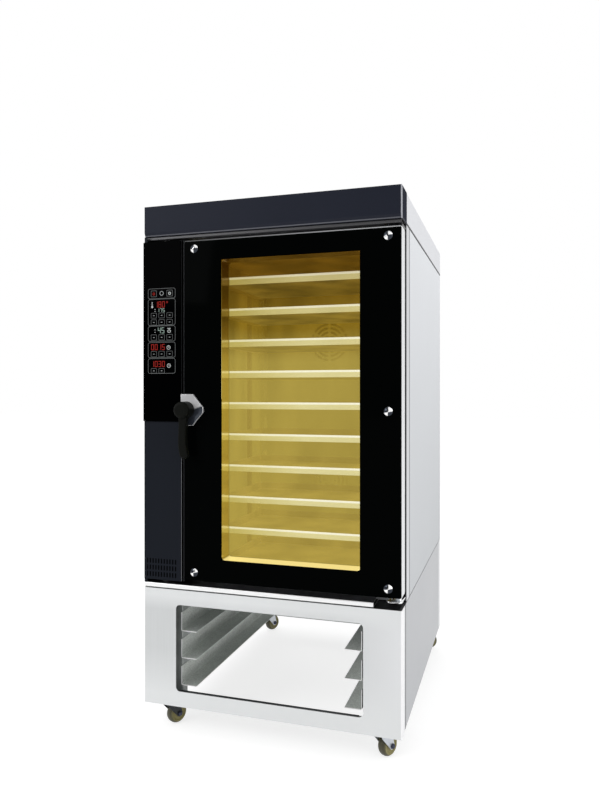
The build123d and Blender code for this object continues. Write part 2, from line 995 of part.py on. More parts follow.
def insulation():
    """Mineral-wool slabs round the chamber."""
    y = (chamber_front_y, chamber_back_y)
    side_z = (mouth_z[0] - sheet, mouth_z[1] + sheet)
    slab_x = (trim_x[1] + 2, right_x - side_flange - 2)
    left = block((slab_x[0], mouth_x[0] - sheet), y, side_z)
    right = block((mouth_x[1] + sheet, slab_x[1]), y, side_z)
    top = block(slab_x, y, (mouth_z[1] + sheet, mouth_z[1] + sheet + top_slab_height))
    bottom = block(slab_x, y, (rail_top, mouth_z[0] - sheet))
    rear_z = (rail_top, side_top - 30)
    rear = block(slab_x, (chamber_back_y + sheet, bulkhead_y), rear_z)
    reach = (chamber_back_y, bulkhead_y + 1)
    for fan in range(fan_count):
        rear -= rod_y(mouth_mid_x, fan_z(fan), shaft_radius + 6, reach)
        for loop in range(heater_loops):
            for leg in heater_legs(fan, loop):
                rear -= rod_y(*leg, heater_sleeve + 1, reach)
    rear -= water_line_hole(reach)
    for lamp_y, lamp_z in lamp_places():
        pocket_z = (lamp_z - lamp_height / 2, lamp_z + lamp_height / 2)
        right -= block((mouth_x[1], right_x), (lamp_y, lamp_y + lamp_width), pocket_z)
    return [left, right, top, bottom, rear]


# Fans, heaters and motors

def fan_blade():
    """One backward-curved blade, drawn in the plane of the wheel."""
    inner = (0.56 * fan_radius, 0.0)
    lean = math.radians(26)
    outer = (0.97 * fan_radius * math.cos(lean), 0.97 * fan_radius * math.sin(lean))
    bow = math.radians(7)
    middle_point = (0.79 * fan_radius * math.cos(bow), 0.79 * fan_radius * math.sin(bow))
    return trace(ThreePointArc(inner, middle_point, outer), line_width=2.0)


def fan_wheel():
    """A centrifugal wheel: back disc, hub, curved blades and a front ring."""
    wheel = along_y(Circle(fan_radius), (fan_width - fan_sheet, fan_width))
    wheel += along_y(Circle(fan_radius) - Circle(fan_eye_radius), (0, fan_sheet))
    wheel += along_y(Circle(fan_hub_radius), (fan_width - fan_hub_length, fan_width))
    blade = along_y(fan_blade(), (1.0, fan_width - 1.0))
    for index in range(fan_blades):
        wheel += Rot(0, index * 360.0 / fan_blades, 0) * blade
    wheel -= rod_y(0, 0, shaft_radius, (-1, fan_width + 1))
    return wheel


def set_fan(part, fan):
    return Pos(mouth_mid_x, fan_y, fan_z(fan)) * part


def fan_shaft():
    """The motor shaft and the nut that holds the wheel on it, in the fan's eye."""
    hub_front = fan_width - fan_hub_length
    shaft = rod_y(0, 0, shaft_radius, (hub_front - 8, motor_y + shaft_in_motor - fan_y))
    nut = along_y(RegularPolygon(13, 6), (hub_front - 12, hub_front))
    return shaft + nut


def heater_y(loop):
    return fan_y + fan_width / 2 + (loop - (heater_loops - 1) / 2) * heater_spacing


def heater_angle():
    return math.degrees(24.0 / heater_radius)


def heater_legs(fan, loop):
    """The two places where a heater's ends go through the back wall."""
    legs = []
    for side in (-1, 1):
        turn = math.radians(90 * (loop + 1) + side * heater_angle())
        x = mouth_mid_x + heater_radius * math.cos(turn)
        z = fan_z(fan) + heater_radius * math.sin(turn)
        legs.append((x, z))
    return legs


def ring_heater(fan, loop):
    """A tube bent into a ring round the fan, with both ends turned back to its terminals."""
    y = heater_y(loop)
    gap = 2 * heater_angle()
    section = Pos(heater_radius, 0) * RegularPolygon(heater_tube, 8)
    ring = revolve(section, Axis.Y, revolution_arc=360 - gap)
    turn = -(90 * (loop + 1) + heater_angle())
    ring = Pos(mouth_mid_x, y, fan_z(fan)) * Rot(0, turn, 0) * ring
    back = chamber_back_y + 40
    for x, z in heater_legs(fan, loop):
        ring += rod_y(x, z, heater_sleeve, (y - heater_sleeve, back))
        ring += rod_y(x, z, 2.0, (back, back + 12))
    return ring


def fan_motor(fan):
    """A finned motor with a flange at the front and a fan cowl at the back."""
    body_y = (motor_y + motor_flange_thickness, motor_y + motor_length)
    square = (-motor_flange, motor_flange)
    flange = along_y(panel_outline(square, square, 14), (motor_y, body_y[0]))
    core = motor_radius - motor_fin_depth
    body = along_y(Circle(core), body_y)
    fin_y = (body_y[0] + 14, body_y[1] - motor_cowl - 4)
    fin = block((core - 3, motor_radius), fin_y, (-1.5, 1.5))
    for index in range(motor_fins):
        body += Rot(0, index * 360.0 / motor_fins, 0) * fin
    cowl = along_y(Circle(motor_radius), (body_y[1] - motor_cowl, body_y[1]))
    cowl = fillet(cowl.edges().group_by(Axis.Y)[-1], 8)
    bore = rod_y(0, 0, shaft_radius + fit_gap, (motor_y - 1, motor_y + shaft_in_motor + 1))
    box = block((-32, 32), (body_y[0] + 30, body_y[0] + 96), (core - 3, motor_radius + 22))
    return Pos(mouth_mid_x, 0, fan_z(fan)) * (flange + body + cowl + box - bore)


def lamp_housing(place):
    wall = 2.0
    lamp_y, lamp_z = place
    x = (mouth_x[1] + sheet, mouth_x[1] + sheet + lamp_depth)
    y = (lamp_y, lamp_y + lamp_width)
    z = (lamp_z - lamp_height / 2, lamp_z + lamp_height / 2)
    inner_y = (y[0] + wall, y[1] - wall)
    inner_z = (z[0] + wall, z[1] - wall)
    return block(x, y, z) - block((x[0] - 1, x[1] - wall), inner_y, inner_z)


def lamp_lens(place):
    """The glass over a lamp, on the chamber side of the right wall."""
    inset = 2.0
    lamp_y, lamp_z = place
    x = (mouth_x[1] - lens_thickness, mouth_x[1])
    half_height = lamp_height / 2 - inset
    y = (lamp_y + inset, lamp_y + lamp_width - inset)
    lens = block(x, y, (lamp_z - half_height, lamp_z + half_height))
    return fillet(lens.edges().filter_by(Axis.X), 6)


def water_line():
    """The copper line from the valve, up and forward through the back of the chamber."""
    x, z = inlet_place()
    end_x, end_z = water_line_end()
    riser_y = rear_y - valve_depth - 60
    path = FilletPolyline(
        (x, rear_y - valve_depth, z),
        (x, riser_y, z),
        (x, riser_y, end_z),
        (end_x, riser_y, end_z),
        (end_x, baffle_y + 40, end_z),
        radius=24,
    )
    start = Plane(origin=path @ 0, z_dir=path % 0)
    return sweep(start * Circle(water_line_radius), path)


def flue_stub():
    x, z = flue_place()
    outer = rod_y(x, z, flue_radius, (rear_y, rear_y + flue_reach))
    square = panel_outline((x - flue_flange, x + flue_flange), (z - flue_flange, z + flue_flange), 10)
    flange = along_y(square, (rear_y, rear_y + flue_flange_thickness))
    bore = rod_y(x, z, flue_radius - flue_wall, (rear_y - 1, rear_y + flue_reach + 1))
    return outer + flange - bore


def cable_gland():
    x, z = gland_place()
    y = (rear_y - 14, rear_y + gland_reach)
    body = rod_y(x, z, gland_bore + gland_wall, y)
    hexagon = Pos(x, z) * RegularPolygon(gland_bore + gland_nut_step, 6)
    collar = along_y(hexagon, (rear_y, rear_y + gland_nut_height))
    nut = along_y(hexagon, (rear_y - gland_nut_height, rear_y - sheet))
    bore = rod_y(x, z, gland_bore, (y[0] - 1, y[1] + 1))
    return body + collar + nut - bore


def water_inlet():
    x, z = inlet_place()
    valve_y = (rear_y - valve_depth, rear_y - valve_depth + 52)
    spigot = rod_y(x, z, inlet_radius, (valve_y[1] - 2, rear_y + inlet_reach))
    collar = along_y(Pos(x, z) * RegularPolygon(inlet_radius + 5.6, 6), (rear_y, rear_y + inlet_collar))
    valve = block((x - 22, x + 22), valve_y, (z - 18, z + 18))
    coil = block((x - 16, x + 16), (valve_y[0] + 10, valve_y[1] - 10), (z + 18, z + 66))
    bore = rod_y(x, z, inlet_bore, (valve_y[1] + 8, rear_y + inlet_reach + 1))
    return spigot + collar + valve + coil - bore


# Door, drawn closed

def cap_places():
    left = door_x[0] + cap_inset_x
    right = door_x[1] - cap_right_inset
    low = door_z[0] + cap_inset_z - 1
    high = door_z[1] - cap_inset_z
    return [(left, low), (left, high), (right, low), (right, high), (right, handle_z)]


def door_outer_glass():
    y = (glass_y, glass_y + glass_thickness)
    pane = along_y(panel_outline(door_x, door_z, 5), y)
    pane = chamfer(pane.faces().sort_by(Axis.Y)[0].edges(), 0.8)
    reach = (y[0] - 1, y[1] + 1)
    holes = [rod_y(x, z, cap_stud_radius + 1, reach) for x, z in cap_places()]
    holes.append(rod_y(handle_x, handle_z, spindle_radius + spindle_hole_gap, reach))
    return pane - holes


def door_front_sheet():
    y = (glass_y + glass_thickness, glass_y + glass_thickness + front_sheet)
    face = along_y(panel_outline(door_x, door_z, 5), y)
    reach = (y[0] - 1, y[1] + 1)
    holes = [rod_y(x, z, cap_stud_radius, reach) for x, z in cap_places()]
    holes.append(rod_y(handle_x, handle_z, spindle_radius + spindle_hole_gap, reach))
    window = along_y(panel_outline(window_x, window_z, window_radius), reach)
    return face - holes - window + window_sleeve()


def door_frame_y():
    return (glass_y + glass_thickness + front_sheet, door_back_y - sheet)


def door_stile():
    """The right-hand door stile, a channel open towards the window."""
    y = door_frame_y()
    half = sheet / 2
    outside = door_x[1] - half
    inside = door_x[1] - stile_width
    section = folded(
        [
            (inside, y[0] + half),
            (outside, y[0] + half),
            (outside, y[1] - half),
            (inside, y[1] - half),
        ]
    )
    return along_z(section, door_z)


def door_rail():
    """The bottom door rail, a channel open towards the window."""
    y = door_frame_y()
    half = sheet / 2
    outside = door_z[0] + half
    inside = door_z[0] + stile_width
    section = folded(
        [
            (y[0] + half, inside),
            (y[0] + half, outside),
            (y[1] - half, outside),
            (y[1] - half, inside),
        ]
    )
    return along_x(section, (door_x[0] + stile_width, door_x[1] - stile_width))


def door_stiles():
    right = door_stile()
    middle_plane = Plane.YZ.offset(middle(door_x))
    left = mirror(right, about=middle_plane)
    y = door_frame_y()
    studs = (y[0] - 1, y[0] + 10)
    for x, z in cap_places():
        hole = rod_y(x, z, cap_stud_radius, studs)
        left -= hole
        right -= hole
    left -= rod_y(handle_x, handle_z, spindle_radius + spindle_hole_gap, (y[0] - 1, y[1] + 1))
    return [left, right]


def door_rails():
    bottom = door_rail()
    top = mirror(bottom, about=Plane.XY.offset(middle(door_z)))
    return [bottom, top]


def hinge_bush_z():
    """Heights of the lower and upper bush blocks inside the door's right stile."""
    tall = hinge_pin_reach + 4.0
    return [(door_z[0], door_z[0] + tall), (door_z[1] - tall, door_z[1])]


def hinge_bushes():
    """Blocks inside the right stile that turn on the two hinge pins."""
    y = door_frame_y()
    y = (y[0] + sheet, y[1] - sheet)
    bushes = []
    for z in hinge_bush_z():
        x = (hinge_x - 16, door_x[1] - sheet)
        bush = block(x, y, z)
        bush = fillet(bush.edges().filter_by(Axis.Z).group_by(Axis.X)[-1], bend)
        bush -= rod_z(hinge_x, hinge_y, hinge_pin_radius + fit_gap, (z[0] - 1, z[1] + 1))
        bushes.append(bush)
    return bushes


def door_inner_panel():
    """The stainless back of the door, open at the window."""
    y = (door_back_y - sheet, door_back_y)
    panel = along_y(panel_outline(door_x, door_z, 5), y)
    reach = (y[0] - 1, y[1] + 1)
    window = along_y(panel_outline(window_x, window_z, window_radius), reach)
    spindle = rod_y(handle_x, handle_z, spindle_radius + fit_gap, reach)
    return panel - window - spindle


def window_sleeve():
    """The lining that runs from the front sheet to the inner glass round the window."""
    y = (glass_y + glass_thickness, inner_glass_y()[0])
    wall = 1.2
    outer = panel_outline(
        (window_x[0] - wall, window_x[1] + wall),
        (window_z[0] - wall, window_z[1] + wall),
        window_radius + wall,
    )
    return along_y(outer - panel_outline(window_x, window_z, window_radius), y)


def inner_glass_y():
    back = door_back_y - sheet
    return (back - inner_glass_thickness, back)


def door_inner_glass():
    x = (window_x[0] - inner_glass_lap, window_x[1] + inner_glass_lap)
    z = (window_z[0] - inner_glass_lap, window_z[1] + inner_glass_lap)
    return along_y(panel_outline(x, z, 4), inner_glass_y())


def door_gasket():
    """A hollow silicone seal that runs round the mouth on the back of the door."""
    y = (door_back_y, frame_y - part_gap)
    inner_x = (mouth_x[0] - 3, mouth_x[1] + 3)
    inner_z = (mouth_z[0] - 3, mouth_z[1] + 3)
    wide = gasket_width
    outer_x = (inner_x[0] - wide, inner_x[1] + wide)
    outer_z = (inner_z[0] - wide, inner_z[1] + wide)
    ring = along_y(
        panel_outline(outer_x, outer_z, 16) - panel_outline(inner_x, inner_z, 6), y
    )
    wall = gasket_wall
    hollow_outer_x = (outer_x[0] + wall, outer_x[1] - wall)
    hollow_outer_z = (outer_z[0] + wall, outer_z[1] - wall)
    hollow_inner_x = (inner_x[0] - wall, inner_x[1] + wall)
    hollow_inner_z = (inner_z[0] - wall, inner_z[1] + wall)
    hollow = panel_outline(hollow_outer_x, hollow_outer_z, 14)
    hollow -= panel_outline(hollow_inner_x, hollow_inner_z, 8)
    return ring - along_y(hollow, (y[0] - 1, y[1] - wall))


def glass_cap(place):
    """A chrome dome nut and stud that clamp the outer glass to the door frame."""
    x, z = place
    skirt = 2.0
    rise = cap_height - skirt
    sphere_radius = (cap_radius**2 + rise**2) / (2 * rise)
    half_x = cap_radius / 2
    half_y = cap_height - sphere_radius + math.sqrt(sphere_radius**2 - half_x**2)
    stud = door_frame_y()[0] + sheet - glass_y
    with BuildSketch() as section:
        with BuildLine():
            Polyline((0, -stud), (cap_stud_radius, -stud), (cap_stud_radius, 0))
            Polyline((cap_stud_radius, 0), (cap_radius, 0), (cap_radius, skirt))
            ThreePointArc((cap_radius, skirt), (half_x, half_y), (0, cap_height))
            Line((0, cap_height), (0, -stud))
        make_face()
    return Pos(x, glass_y, z) * Rot(180, 0, 0) * revolve(section.sketch, Axis.Y)


def hinge_bracket_limits():
    right = right_x - hinge_bracket_inset
    return (right - hinge_bracket_width, right), (hinge_y - hinge_bracket_nose, frame_y)


def hinge_bracket():
    """The lower bracket: a plate under the door, a spacer and an upright pin."""
    x, y = hinge_bracket_limits()
    top = door_z[0] - lower_spacer_height
    z = (top - hinge_bracket_thickness, top)
    plate = block(x, y, z)
    plate = fillet(plate.edges().filter_by(Axis.Z).group_by(Axis.Y)[0], 12)
    foot = block(x, (frame_y - 5, frame_y), (rail_top - 10, z[1]))
    spacer = rod_z(hinge_x, hinge_y, hinge_spacer_radius, (z[1], door_z[0] - part_gap))
    pin = rod_z(hinge_x, hinge_y, hinge_pin_radius, (z[1], door_z[0] + hinge_pin_reach))
    pin = chamfer(pin.edges().group_by(Axis.Z)[-1], 1.5)
    screw = rod_z(x[0] + 14, y[0] + 20, 6, (z[1], z[1] + 4))
    return plate + foot + spacer + pin + screw


def top_hinge_bracket():
    """The upper bracket: a plate over the door with a pin that points down."""
    x, y = hinge_bracket_limits()
    low = door_z[1] + upper_spacer_height
    z = (low, low + hinge_bracket_thickness)
    plate = block(x, y, z)
    plate = fillet(plate.edges().filter_by(Axis.Z).group_by(Axis.Y)[0], 12)
    spacer = rod_z(hinge_x, hinge_y, hinge_spacer_radius, (door_z[1] + part_gap, z[0]))
    pin = rod_z(hinge_x, hinge_y, hinge_pin_radius, (door_z[1] - hinge_pin_reach, z[0]))
    return plate + spacer + pin


# Handle and latch

def latch_plate():
    """The chrome plate under the handle, with two slanted corners towards the window."""
    left = handle_x - 24.0
    right = left + latch_plate_width
    flat = left + latch_plate_flat
    low = handle_z - latch_plate_height / 2
    high = handle_z + latch_plate_height / 2
    outline = Polygon(
        (left, low),
        (flat, low),
        (right, handle_z - 9),
        (right, handle_z + 9),
        (flat, high),
        (left, high),
        align=None,
    )
    outline = fillet(outline.vertices().group_by(Axis.X)[-1], 12)
    y = (glass_y - latch_plate_thickness, glass_y)
    plate = along_y(outline, y)
    plate = chamfer(plate.faces().sort_by(Axis.Y)[0].edges(), 1.5)
    reach = (y[0] - 1, y[1] + 1)
    return plate - rod_y(handle_x, handle_z, spindle_radius + fit_gap, reach)


def handle_lever():
    """The black handle: a domed hub and a lever that hangs down and flares at its end."""
    front = glass_y - hub_reach
    back = glass_y - latch_plate_thickness - hub_gap
    hub = rod_y(handle_x, handle_z, hub_radius, (front, back))
    hub = fillet(hub.edges().group_by(Axis.Y)[0], 12)
    y = (glass_y - lever_gap - lever_thickness, glass_y - lever_gap)
    half = lever_width / 2
    with BuildSketch() as outline:
        with BuildLine():
            Line((-half - 5, 0), (half + 5, 0))
            Spline((half + 5, 0), (half - 1, -60), (half - 2, -110), (half + 7, -lever_length + 12))
            ThreePointArc(
                (half + 7, -lever_length + 12),
                (0.5 * half, -lever_length),
                (-half + 5, -lever_length + 14),
            )
            Spline((-half + 5, -lever_length + 14), (-half - 1, -110), (-half + 1, -60), (-half - 5, 0))
        make_face()
    lever = along_y(outline.sketch, y)
    lever = fillet(lever.faces().sort_by(Axis.Y)[0].edges(), 6)
    handle = hub + Pos(handle_x, 0, handle_z) * lever
    socket = rod_y(handle_x, handle_z, spindle_radius, (front + socket_cover, back + 1))
    return handle - socket


def spindle():
    """The spindle through the door, with the latch tongue on its inner end."""
    outer = glass_y - hub_reach + socket_cover
    tongue_y = (door_back_y + tongue_gap, door_back_y + tongue_gap + tongue_thickness)
    shaft = rod_y(handle_x, handle_z, spindle_radius, (outer, tongue_y[1]))
    tip = Pos(handle_x - tongue_reach / 2, handle_z) * SlotOverall(tongue_reach + 12, 14)
    tongue = along_y(tip, tongue_y)
    boss = rod_y(handle_x, handle_z, 10.5, tongue_y)
    limit = block(
        (handle_x - tongue_reach, handle_x + 20),
        (tongue_y[0] - 1, tongue_y[1] + 1),
        (handle_z - 20, handle_z + 20),
    )
    return shaft + ((tongue + boss) & limit)


def latch_keeper():
    """The catch on the front frame, just beyond the tip of the tongue."""
    tip = handle_x - tongue_reach - keeper_gap
    z = (handle_z - keeper_width / 2, handle_z + keeper_width / 2)
    left = trim_x[0] + 1.6
    front = door_back_y + tongue_gap
    foot = block((left, tip), (frame_y - keeper_thickness, frame_y), z)
    web = block((left, left + keeper_thickness), (front, frame_y), z)
    lip = block((left, tip), (front, front + keeper_thickness), z)
    return foot + web + lip


def write(name, solids):
    """Writes one named node from a solid or a list of separate solids."""
    if isinstance(solids, list):
        solids = Compound(children=solids)
    export_step(solids, f"parts/{name}.step")


def main():
    os.makedirs("parts", exist_ok=True)
    front_panel = stand_front_panel()
    write("stand_end_panels", [front_panel, to_rear(front_panel)])
    write("stand_sides", [stand_side(), mirrored_x(stand_side())])
    write("stand_deck", stand_deck())
    write("caster_channels", [caster_channel(), to_rear(caster_channel())])
    runners = [stand_runner(level) for level in range(runner_levels)]
    write("stand_runners", runners + [mirrored_x(runner) for runner in runners])
    posts = [runner_post(), to_rear(runner_post())]
    write("runner_posts", posts + [mirrored_x(post) for post in posts])

    places = caster_places()
    write("caster_top_plates", [set_caster_plate(place) for place in places.values()])
    for name, place in places.items():
        fork = [set_caster(caster_fork(), place), set_caster(caster_axle(), place)]
        write(f"caster_fork_{name}", fork)
        write(f"caster_wheel_{name}", set_caster(caster_wheel(), place))

    write("base_rail", base_rail())
    write("cabinet_pan", cabinet_pan())
    write("side_panels", [side_panel(), mirrored_x(side_panel())])
    write("left_corner", left_corner())
    write("front_frame", front_frame())
    write("hood_fascia", hood_fascia())
    write("top_cover", top_cover())
    write("under_hood_lip", under_hood_lip())
    write("rear_cover", rear_cover())
    write("motor_bulkhead", motor_bulkhead())

    write("control_glass", control_glass())
    write("lower_cover", lower_cover())
    write("column_trim", column_trim())
    write("control_tray", control_tray())
    write("display_board", display_board())
    write("switchgear", contactors() + [terminal_block()])

    wall = chamber_side_wall()
    other_wall = mirror(wall, about=Plane.YZ.offset(mouth_mid_x))
    write("chamber_liner", [wall, other_wall, chamber_ceiling(), chamber_floor()])
    write("chamber_back_wall", chamber_back_wall())
    write("air_baffle", air_baffle())
    chamber_middle = Plane.YZ.offset(mouth_mid_x)
    rack_posts = [rack_post(y) for y in rack_post_rows()]
    write("rack_posts", rack_posts + [mirror(post, about=chamber_middle) for post in rack_posts])
    rails = [rack_runner(index) for index in range(tray_count)]
    write("rack_runners", rails + [mirror(rail, about=chamber_middle) for rail in rails])
    write("baking_trays", [baking_tray(index) for index in range(tray_count)])
    write("insulation", insulation())

    fans = range(fan_count)
    heaters = [ring_heater(fan, loop) for fan in fans for loop in range(heater_loops)]
    write("ring_heaters", heaters)
    write("fan_motors", [fan_motor(fan) for fan in fans])
    for fan, name in zip(fans, ("lower", "upper")):
        write(f"fan_wheel_{name}", [set_fan(fan_wheel(), fan), set_fan(fan_shaft(), fan)])
    write("lamp_housings", [lamp_housing(place) for place in lamp_places()])
    write("lamp_lenses", [lamp_lens(place) for place in lamp_places()])
    write("flue_stub", flue_stub())
    write("cable_gland", cable_gland())
    write("water_inlet", [water_inlet(), water_line()])

    write("door_outer_glass", door_outer_glass())
    write("door_front_sheet", door_front_sheet())
    write("door_frame", door_stiles() + door_rails())
    write("door_inner_panel", door_inner_panel())
    write("door_inner_glass", door_inner_glass())
    write("door_gasket", door_gasket())
    write("glass_caps", [glass_cap(place) for place in cap_places()])
    write("hinge_bushes", hinge_bushes())
    write("hinge_brackets", [hinge_bracket(), top_hinge_bracket()])
    write("latch_plate", latch_plate())
    write("handle_lever", handle_lever())
    write("handle_spindle", spindle())
    write("latch_keeper", latch_keeper())


main()
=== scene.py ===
import math

import bmesh
import bpy
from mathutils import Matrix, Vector


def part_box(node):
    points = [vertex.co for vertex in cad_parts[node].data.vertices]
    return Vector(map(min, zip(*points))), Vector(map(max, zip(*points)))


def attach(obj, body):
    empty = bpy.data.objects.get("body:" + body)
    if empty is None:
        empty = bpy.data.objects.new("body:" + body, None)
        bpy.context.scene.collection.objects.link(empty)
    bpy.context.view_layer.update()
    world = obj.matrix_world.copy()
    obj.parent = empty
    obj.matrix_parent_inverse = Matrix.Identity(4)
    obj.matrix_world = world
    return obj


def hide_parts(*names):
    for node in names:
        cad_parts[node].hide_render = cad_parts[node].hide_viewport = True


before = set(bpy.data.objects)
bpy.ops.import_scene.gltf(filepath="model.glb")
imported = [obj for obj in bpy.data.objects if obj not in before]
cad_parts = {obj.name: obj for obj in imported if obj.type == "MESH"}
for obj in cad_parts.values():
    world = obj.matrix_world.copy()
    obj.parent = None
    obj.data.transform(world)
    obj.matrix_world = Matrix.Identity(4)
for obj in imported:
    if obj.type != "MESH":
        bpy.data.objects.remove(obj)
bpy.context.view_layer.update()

# The studio: a pale floor under an even white sky, with one broad lamp at the front left,
# one at the right and a weaker one behind. The floor keeps the oven's soft shadow.
white = (1.0, 1.0, 1.0, 1.0)
floor_reach = 60.0
floor_drop = 0.0005
floor_colour = (0.46, 0.46, 0.46, 1.0)
floor_roughness = 0.9
floor_glow_strength = 0.74
sky_strength = 0.60
dark_side = Vector((-0.47, -0.86, 0.20)).normalized()
dark_side_edge = (0.78, 0.93)
dark_side_colour = (0.02, 0.02, 0.025, 1.0)
lamp_settings = {
    "front_left": {"place": (-3.2, -4.2, 3.4), "size": 2.6, "power": 95.0},
    "right": {"place": (4.6, -1.2, 2.6), "size": 4.0, "power": 50.0},
    "behind": {"place": (-1.5, 4.5, 3.0), "size": 2.8, "power": 38.0},
}


def put(tree, kind, **given):
    """A shader node of one kind: words in lower case are its settings, the others its inputs."""
    node = tree.nodes.new("ShaderNode" + kind)
    for word, value in given.items():
        if word.islower():
            setattr(node, word, value)
        else:
            feed(tree, node.inputs[word.replace("_", " ")], value)
    return node


def feed(tree, socket, value):
    """Links a socket to another node's output, or sets it to a plain value."""
    if isinstance(value, bpy.types.NodeSocket):
        tree.links.new(value, socket)
    else:
        socket.default_value = value


def calc(tree, operation, *values):
    """The result of a math node."""
    node = put(tree, "Math", operation=operation)
    for socket, value in zip(node.inputs, values):
        feed(tree, socket, value)
    return node.outputs[0]


def spread(tree, value, low, high, to_low=0.0, to_high=1.0):
    """A value that runs from to_low to to_high as the given one runs from low to high."""
    node = put(
        tree, "MapRange", Value=value, From_Min=low, From_Max=high, To_Min=to_low, To_Max=to_high
    )
    return node.outputs["Result"]


def mixed(tree, share, first, second, how="MIX"):
    """A colour that goes from the first to the second as the share goes from 0 to 1."""
    node = put(tree, "Mix", data_type="RGBA", blend_type=how)
    for place, value in ((0, share), (6, first), (7, second)):
        feed(tree, node.inputs[place], value)
    return node.outputs[2]


def seen_directly(tree):
    """1 where the camera, a mirror image or a pane of glass looks straight at the surface."""
    ray = put(tree, "LightPath").outputs
    mirrored = calc(tree, "MAXIMUM", ray["Is Camera Ray"], ray["Is Glossy Ray"])
    return calc(tree, "MAXIMUM", mirrored, ray["Is Transmission Ray"])


world = bpy.data.worlds.new("studio sky")
bpy.context.scene.world = world
world.use_nodes = True
sky = world.node_tree
background = sky.nodes["Background"]
direction = put(sky, "TexCoord").outputs["Generated"]
nearness = put(sky, "VectorMath", operation="DOT_PRODUCT")
sky.links.new(direction, nearness.inputs[0])
nearness.inputs[1].default_value = dark_side
dark_room = spread(sky, nearness.outputs["Value"], *dark_side_edge)
in_mirror = calc(sky, "MULTIPLY", dark_room, put(sky, "LightPath").outputs["Is Glossy Ray"])
sky_colour = mixed(sky, in_mirror, white, dark_side_colour)
sky.links.new(sky_colour, background.inputs["Color"])
sky_light = spread(sky, seen_directly(sky), 0.0, 1.0, sky_strength, 1.0)
sky.links.new(sky_light, background.inputs["Strength"])

bpy.ops.object.select_all(action="DESELECT")
bpy.ops.mesh.primitive_plane_add(size=floor_reach, location=(0.0, 0.0, -floor_drop))
floor = bpy.context.object
floor.name = "floor"
floor_paint = bpy.data.materials.new("pale floor")
floor_paint.use_nodes = True
floor_tree = floor_paint.node_tree
floor_shader = floor_tree.nodes["Principled BSDF"]
floor_shader.inputs["Base Color"].default_value = floor_colour
floor_shader.inputs["Roughness"].default_value = floor_roughness
floor_shader.inputs["Specular IOR Level"].default_value = 0.0
floor_shader.inputs["Emission Color"].default_value = white
floor_glow = spread(floor_tree, seen_directly(floor_tree), 0.0, 1.0, 0.0, floor_glow_strength)
floor_tree.links.new(floor_glow, floor_shader.inputs["Emission Strength"])
floor.data.materials.append(floor_paint)

oven_middle = Vector((0.0, 0.0, 0.9))
for lamp_name, lamp in lamp_settings.items():
    lamp_data = bpy.data.lights.new(lamp_name, "AREA")
    lamp_data.shape = "SQUARE"
    lamp_data.size = lamp["size"]
    lamp_data.energy = lamp["power"]
    lamp_object = bpy.data.objects.new(lamp_name, lamp_data)
    bpy.context.scene.collection.objects.link(lamp_object)
    lamp_object.location = lamp["place"]
    aim = oven_middle - Vector(lamp["place"])
    lamp_object.rotation_euler = aim.to_track_quat("-Z", "Y").to_euler()
bpy.context.scene.view_settings.view_transform = "Standard"

# The camera stands in front of the oven at chest height, a little to its right and held level,
# so that the front and the right side show.
camera_place = (0.822, -2.7935, 1.221)
camera_turn = math.atan2(0.2996, 0.954)
sensor_width = 36.0
focal_length = 30.96
picture_shift = -0.00875
camera_data = bpy.data.cameras.new("camera")
camera_data.sensor_width = sensor_width
camera_data.lens = focal_length
camera_data.shift_y = picture_shift
camera = bpy.data.objects.new("camera", camera_data)
bpy.context.scene.collection.objects.link(camera)
camera.location = camera_place
camera.rotation_euler = (math.radians(90.0), 0.0, camera_turn)
bpy.context.scene.camera = camera

# The stand: two folded end panels with a wide opening, two side skirts and the seams
# between them, all of brushed stainless sheet, welded at the corners, with painted light on the
# front.
stainless_colour = (0.74, 0.75, 0.76, 1.0)
stainless_roughness = 0.34
stand_grain = (260.0, 260.0, 5.0)
lengthwise_grain = (260.0, 5.0, 260.0)
scratch_depth = 0.05
edge_margin = 0.001


def effect(name, inputs, outputs):
    """An empty shader group, with its input and output sockets by name."""
    tree = bpy.data.node_groups.new(name, "ShaderNodeTree")
    for word, (kind, value) in inputs.items():
        socket = tree.interface.new_socket(word, in_out="INPUT", socket_type="NodeSocket" + kind)
        socket.default_value = value
    for word, kind in outputs.items():
        tree.interface.new_socket(word, in_out="OUTPUT", socket_type="NodeSocket" + kind)
    given = tree.nodes.new("NodeGroupInput").outputs
    return tree, given, tree.nodes.new("NodeGroupOutput").inputs


def finish(name, **settings):
    """A material with its node tree and its shader, whose settings are the same all over."""
    material = bpy.data.materials.new(name)
    material.use_nodes = True
    shader = material.node_tree.nodes["Principled BSDF"]
    for word, value in settings.items():
        shader.inputs[word.replace("_", " ")].default_value = value
    return material, material.node_tree, shader


def dress(material, *names):
    """Gives CAD nodes their finish."""
    for name in names:
        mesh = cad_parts[name].data
        mesh.materials.clear()
        mesh.materials.append(material)


def join_to(tree, shader, group):
    """Wires a group's outputs to the shader's inputs of the same names."""
    for output in group.outputs:
        tree.links.new(output, shader.inputs[output.name])


def scaled(tree, colour, amount):
    """A colour or vector times one number."""
    node = put(tree, "VectorMath", operation="SCALE")
    feed(tree, node.inputs[0], colour)
    feed(tree, node.inputs["Scale"], amount)
    return node.outputs[0]


def stretched(tree, place, stretch):
    """A place in space with each axis drawn out by its own factor."""
    node = put(tree, "VectorMath", operation="MULTIPLY")
    feed(tree, node.inputs[0], place)
    feed(tree, node.inputs[1], stretch)
    return node.outputs[0]


def axes(tree, place):
    """The X, Y and Z of a place."""
    return put(tree, "SeparateXYZ", Vector=place).outputs


def object_place(tree):
    """A point's place on the object, in metres."""
    return put(tree, "TexCoord").outputs["Object"]


def noise(tree, scale, detail, place=None, **settings):
    """Cloudy noise, as a value."""
    if place is None:
        place = object_place(tree)
    node = put(tree, "TexNoise", Vector=place, Scale=scale, Detail=detail, **settings)
    return node.outputs["Fac"]


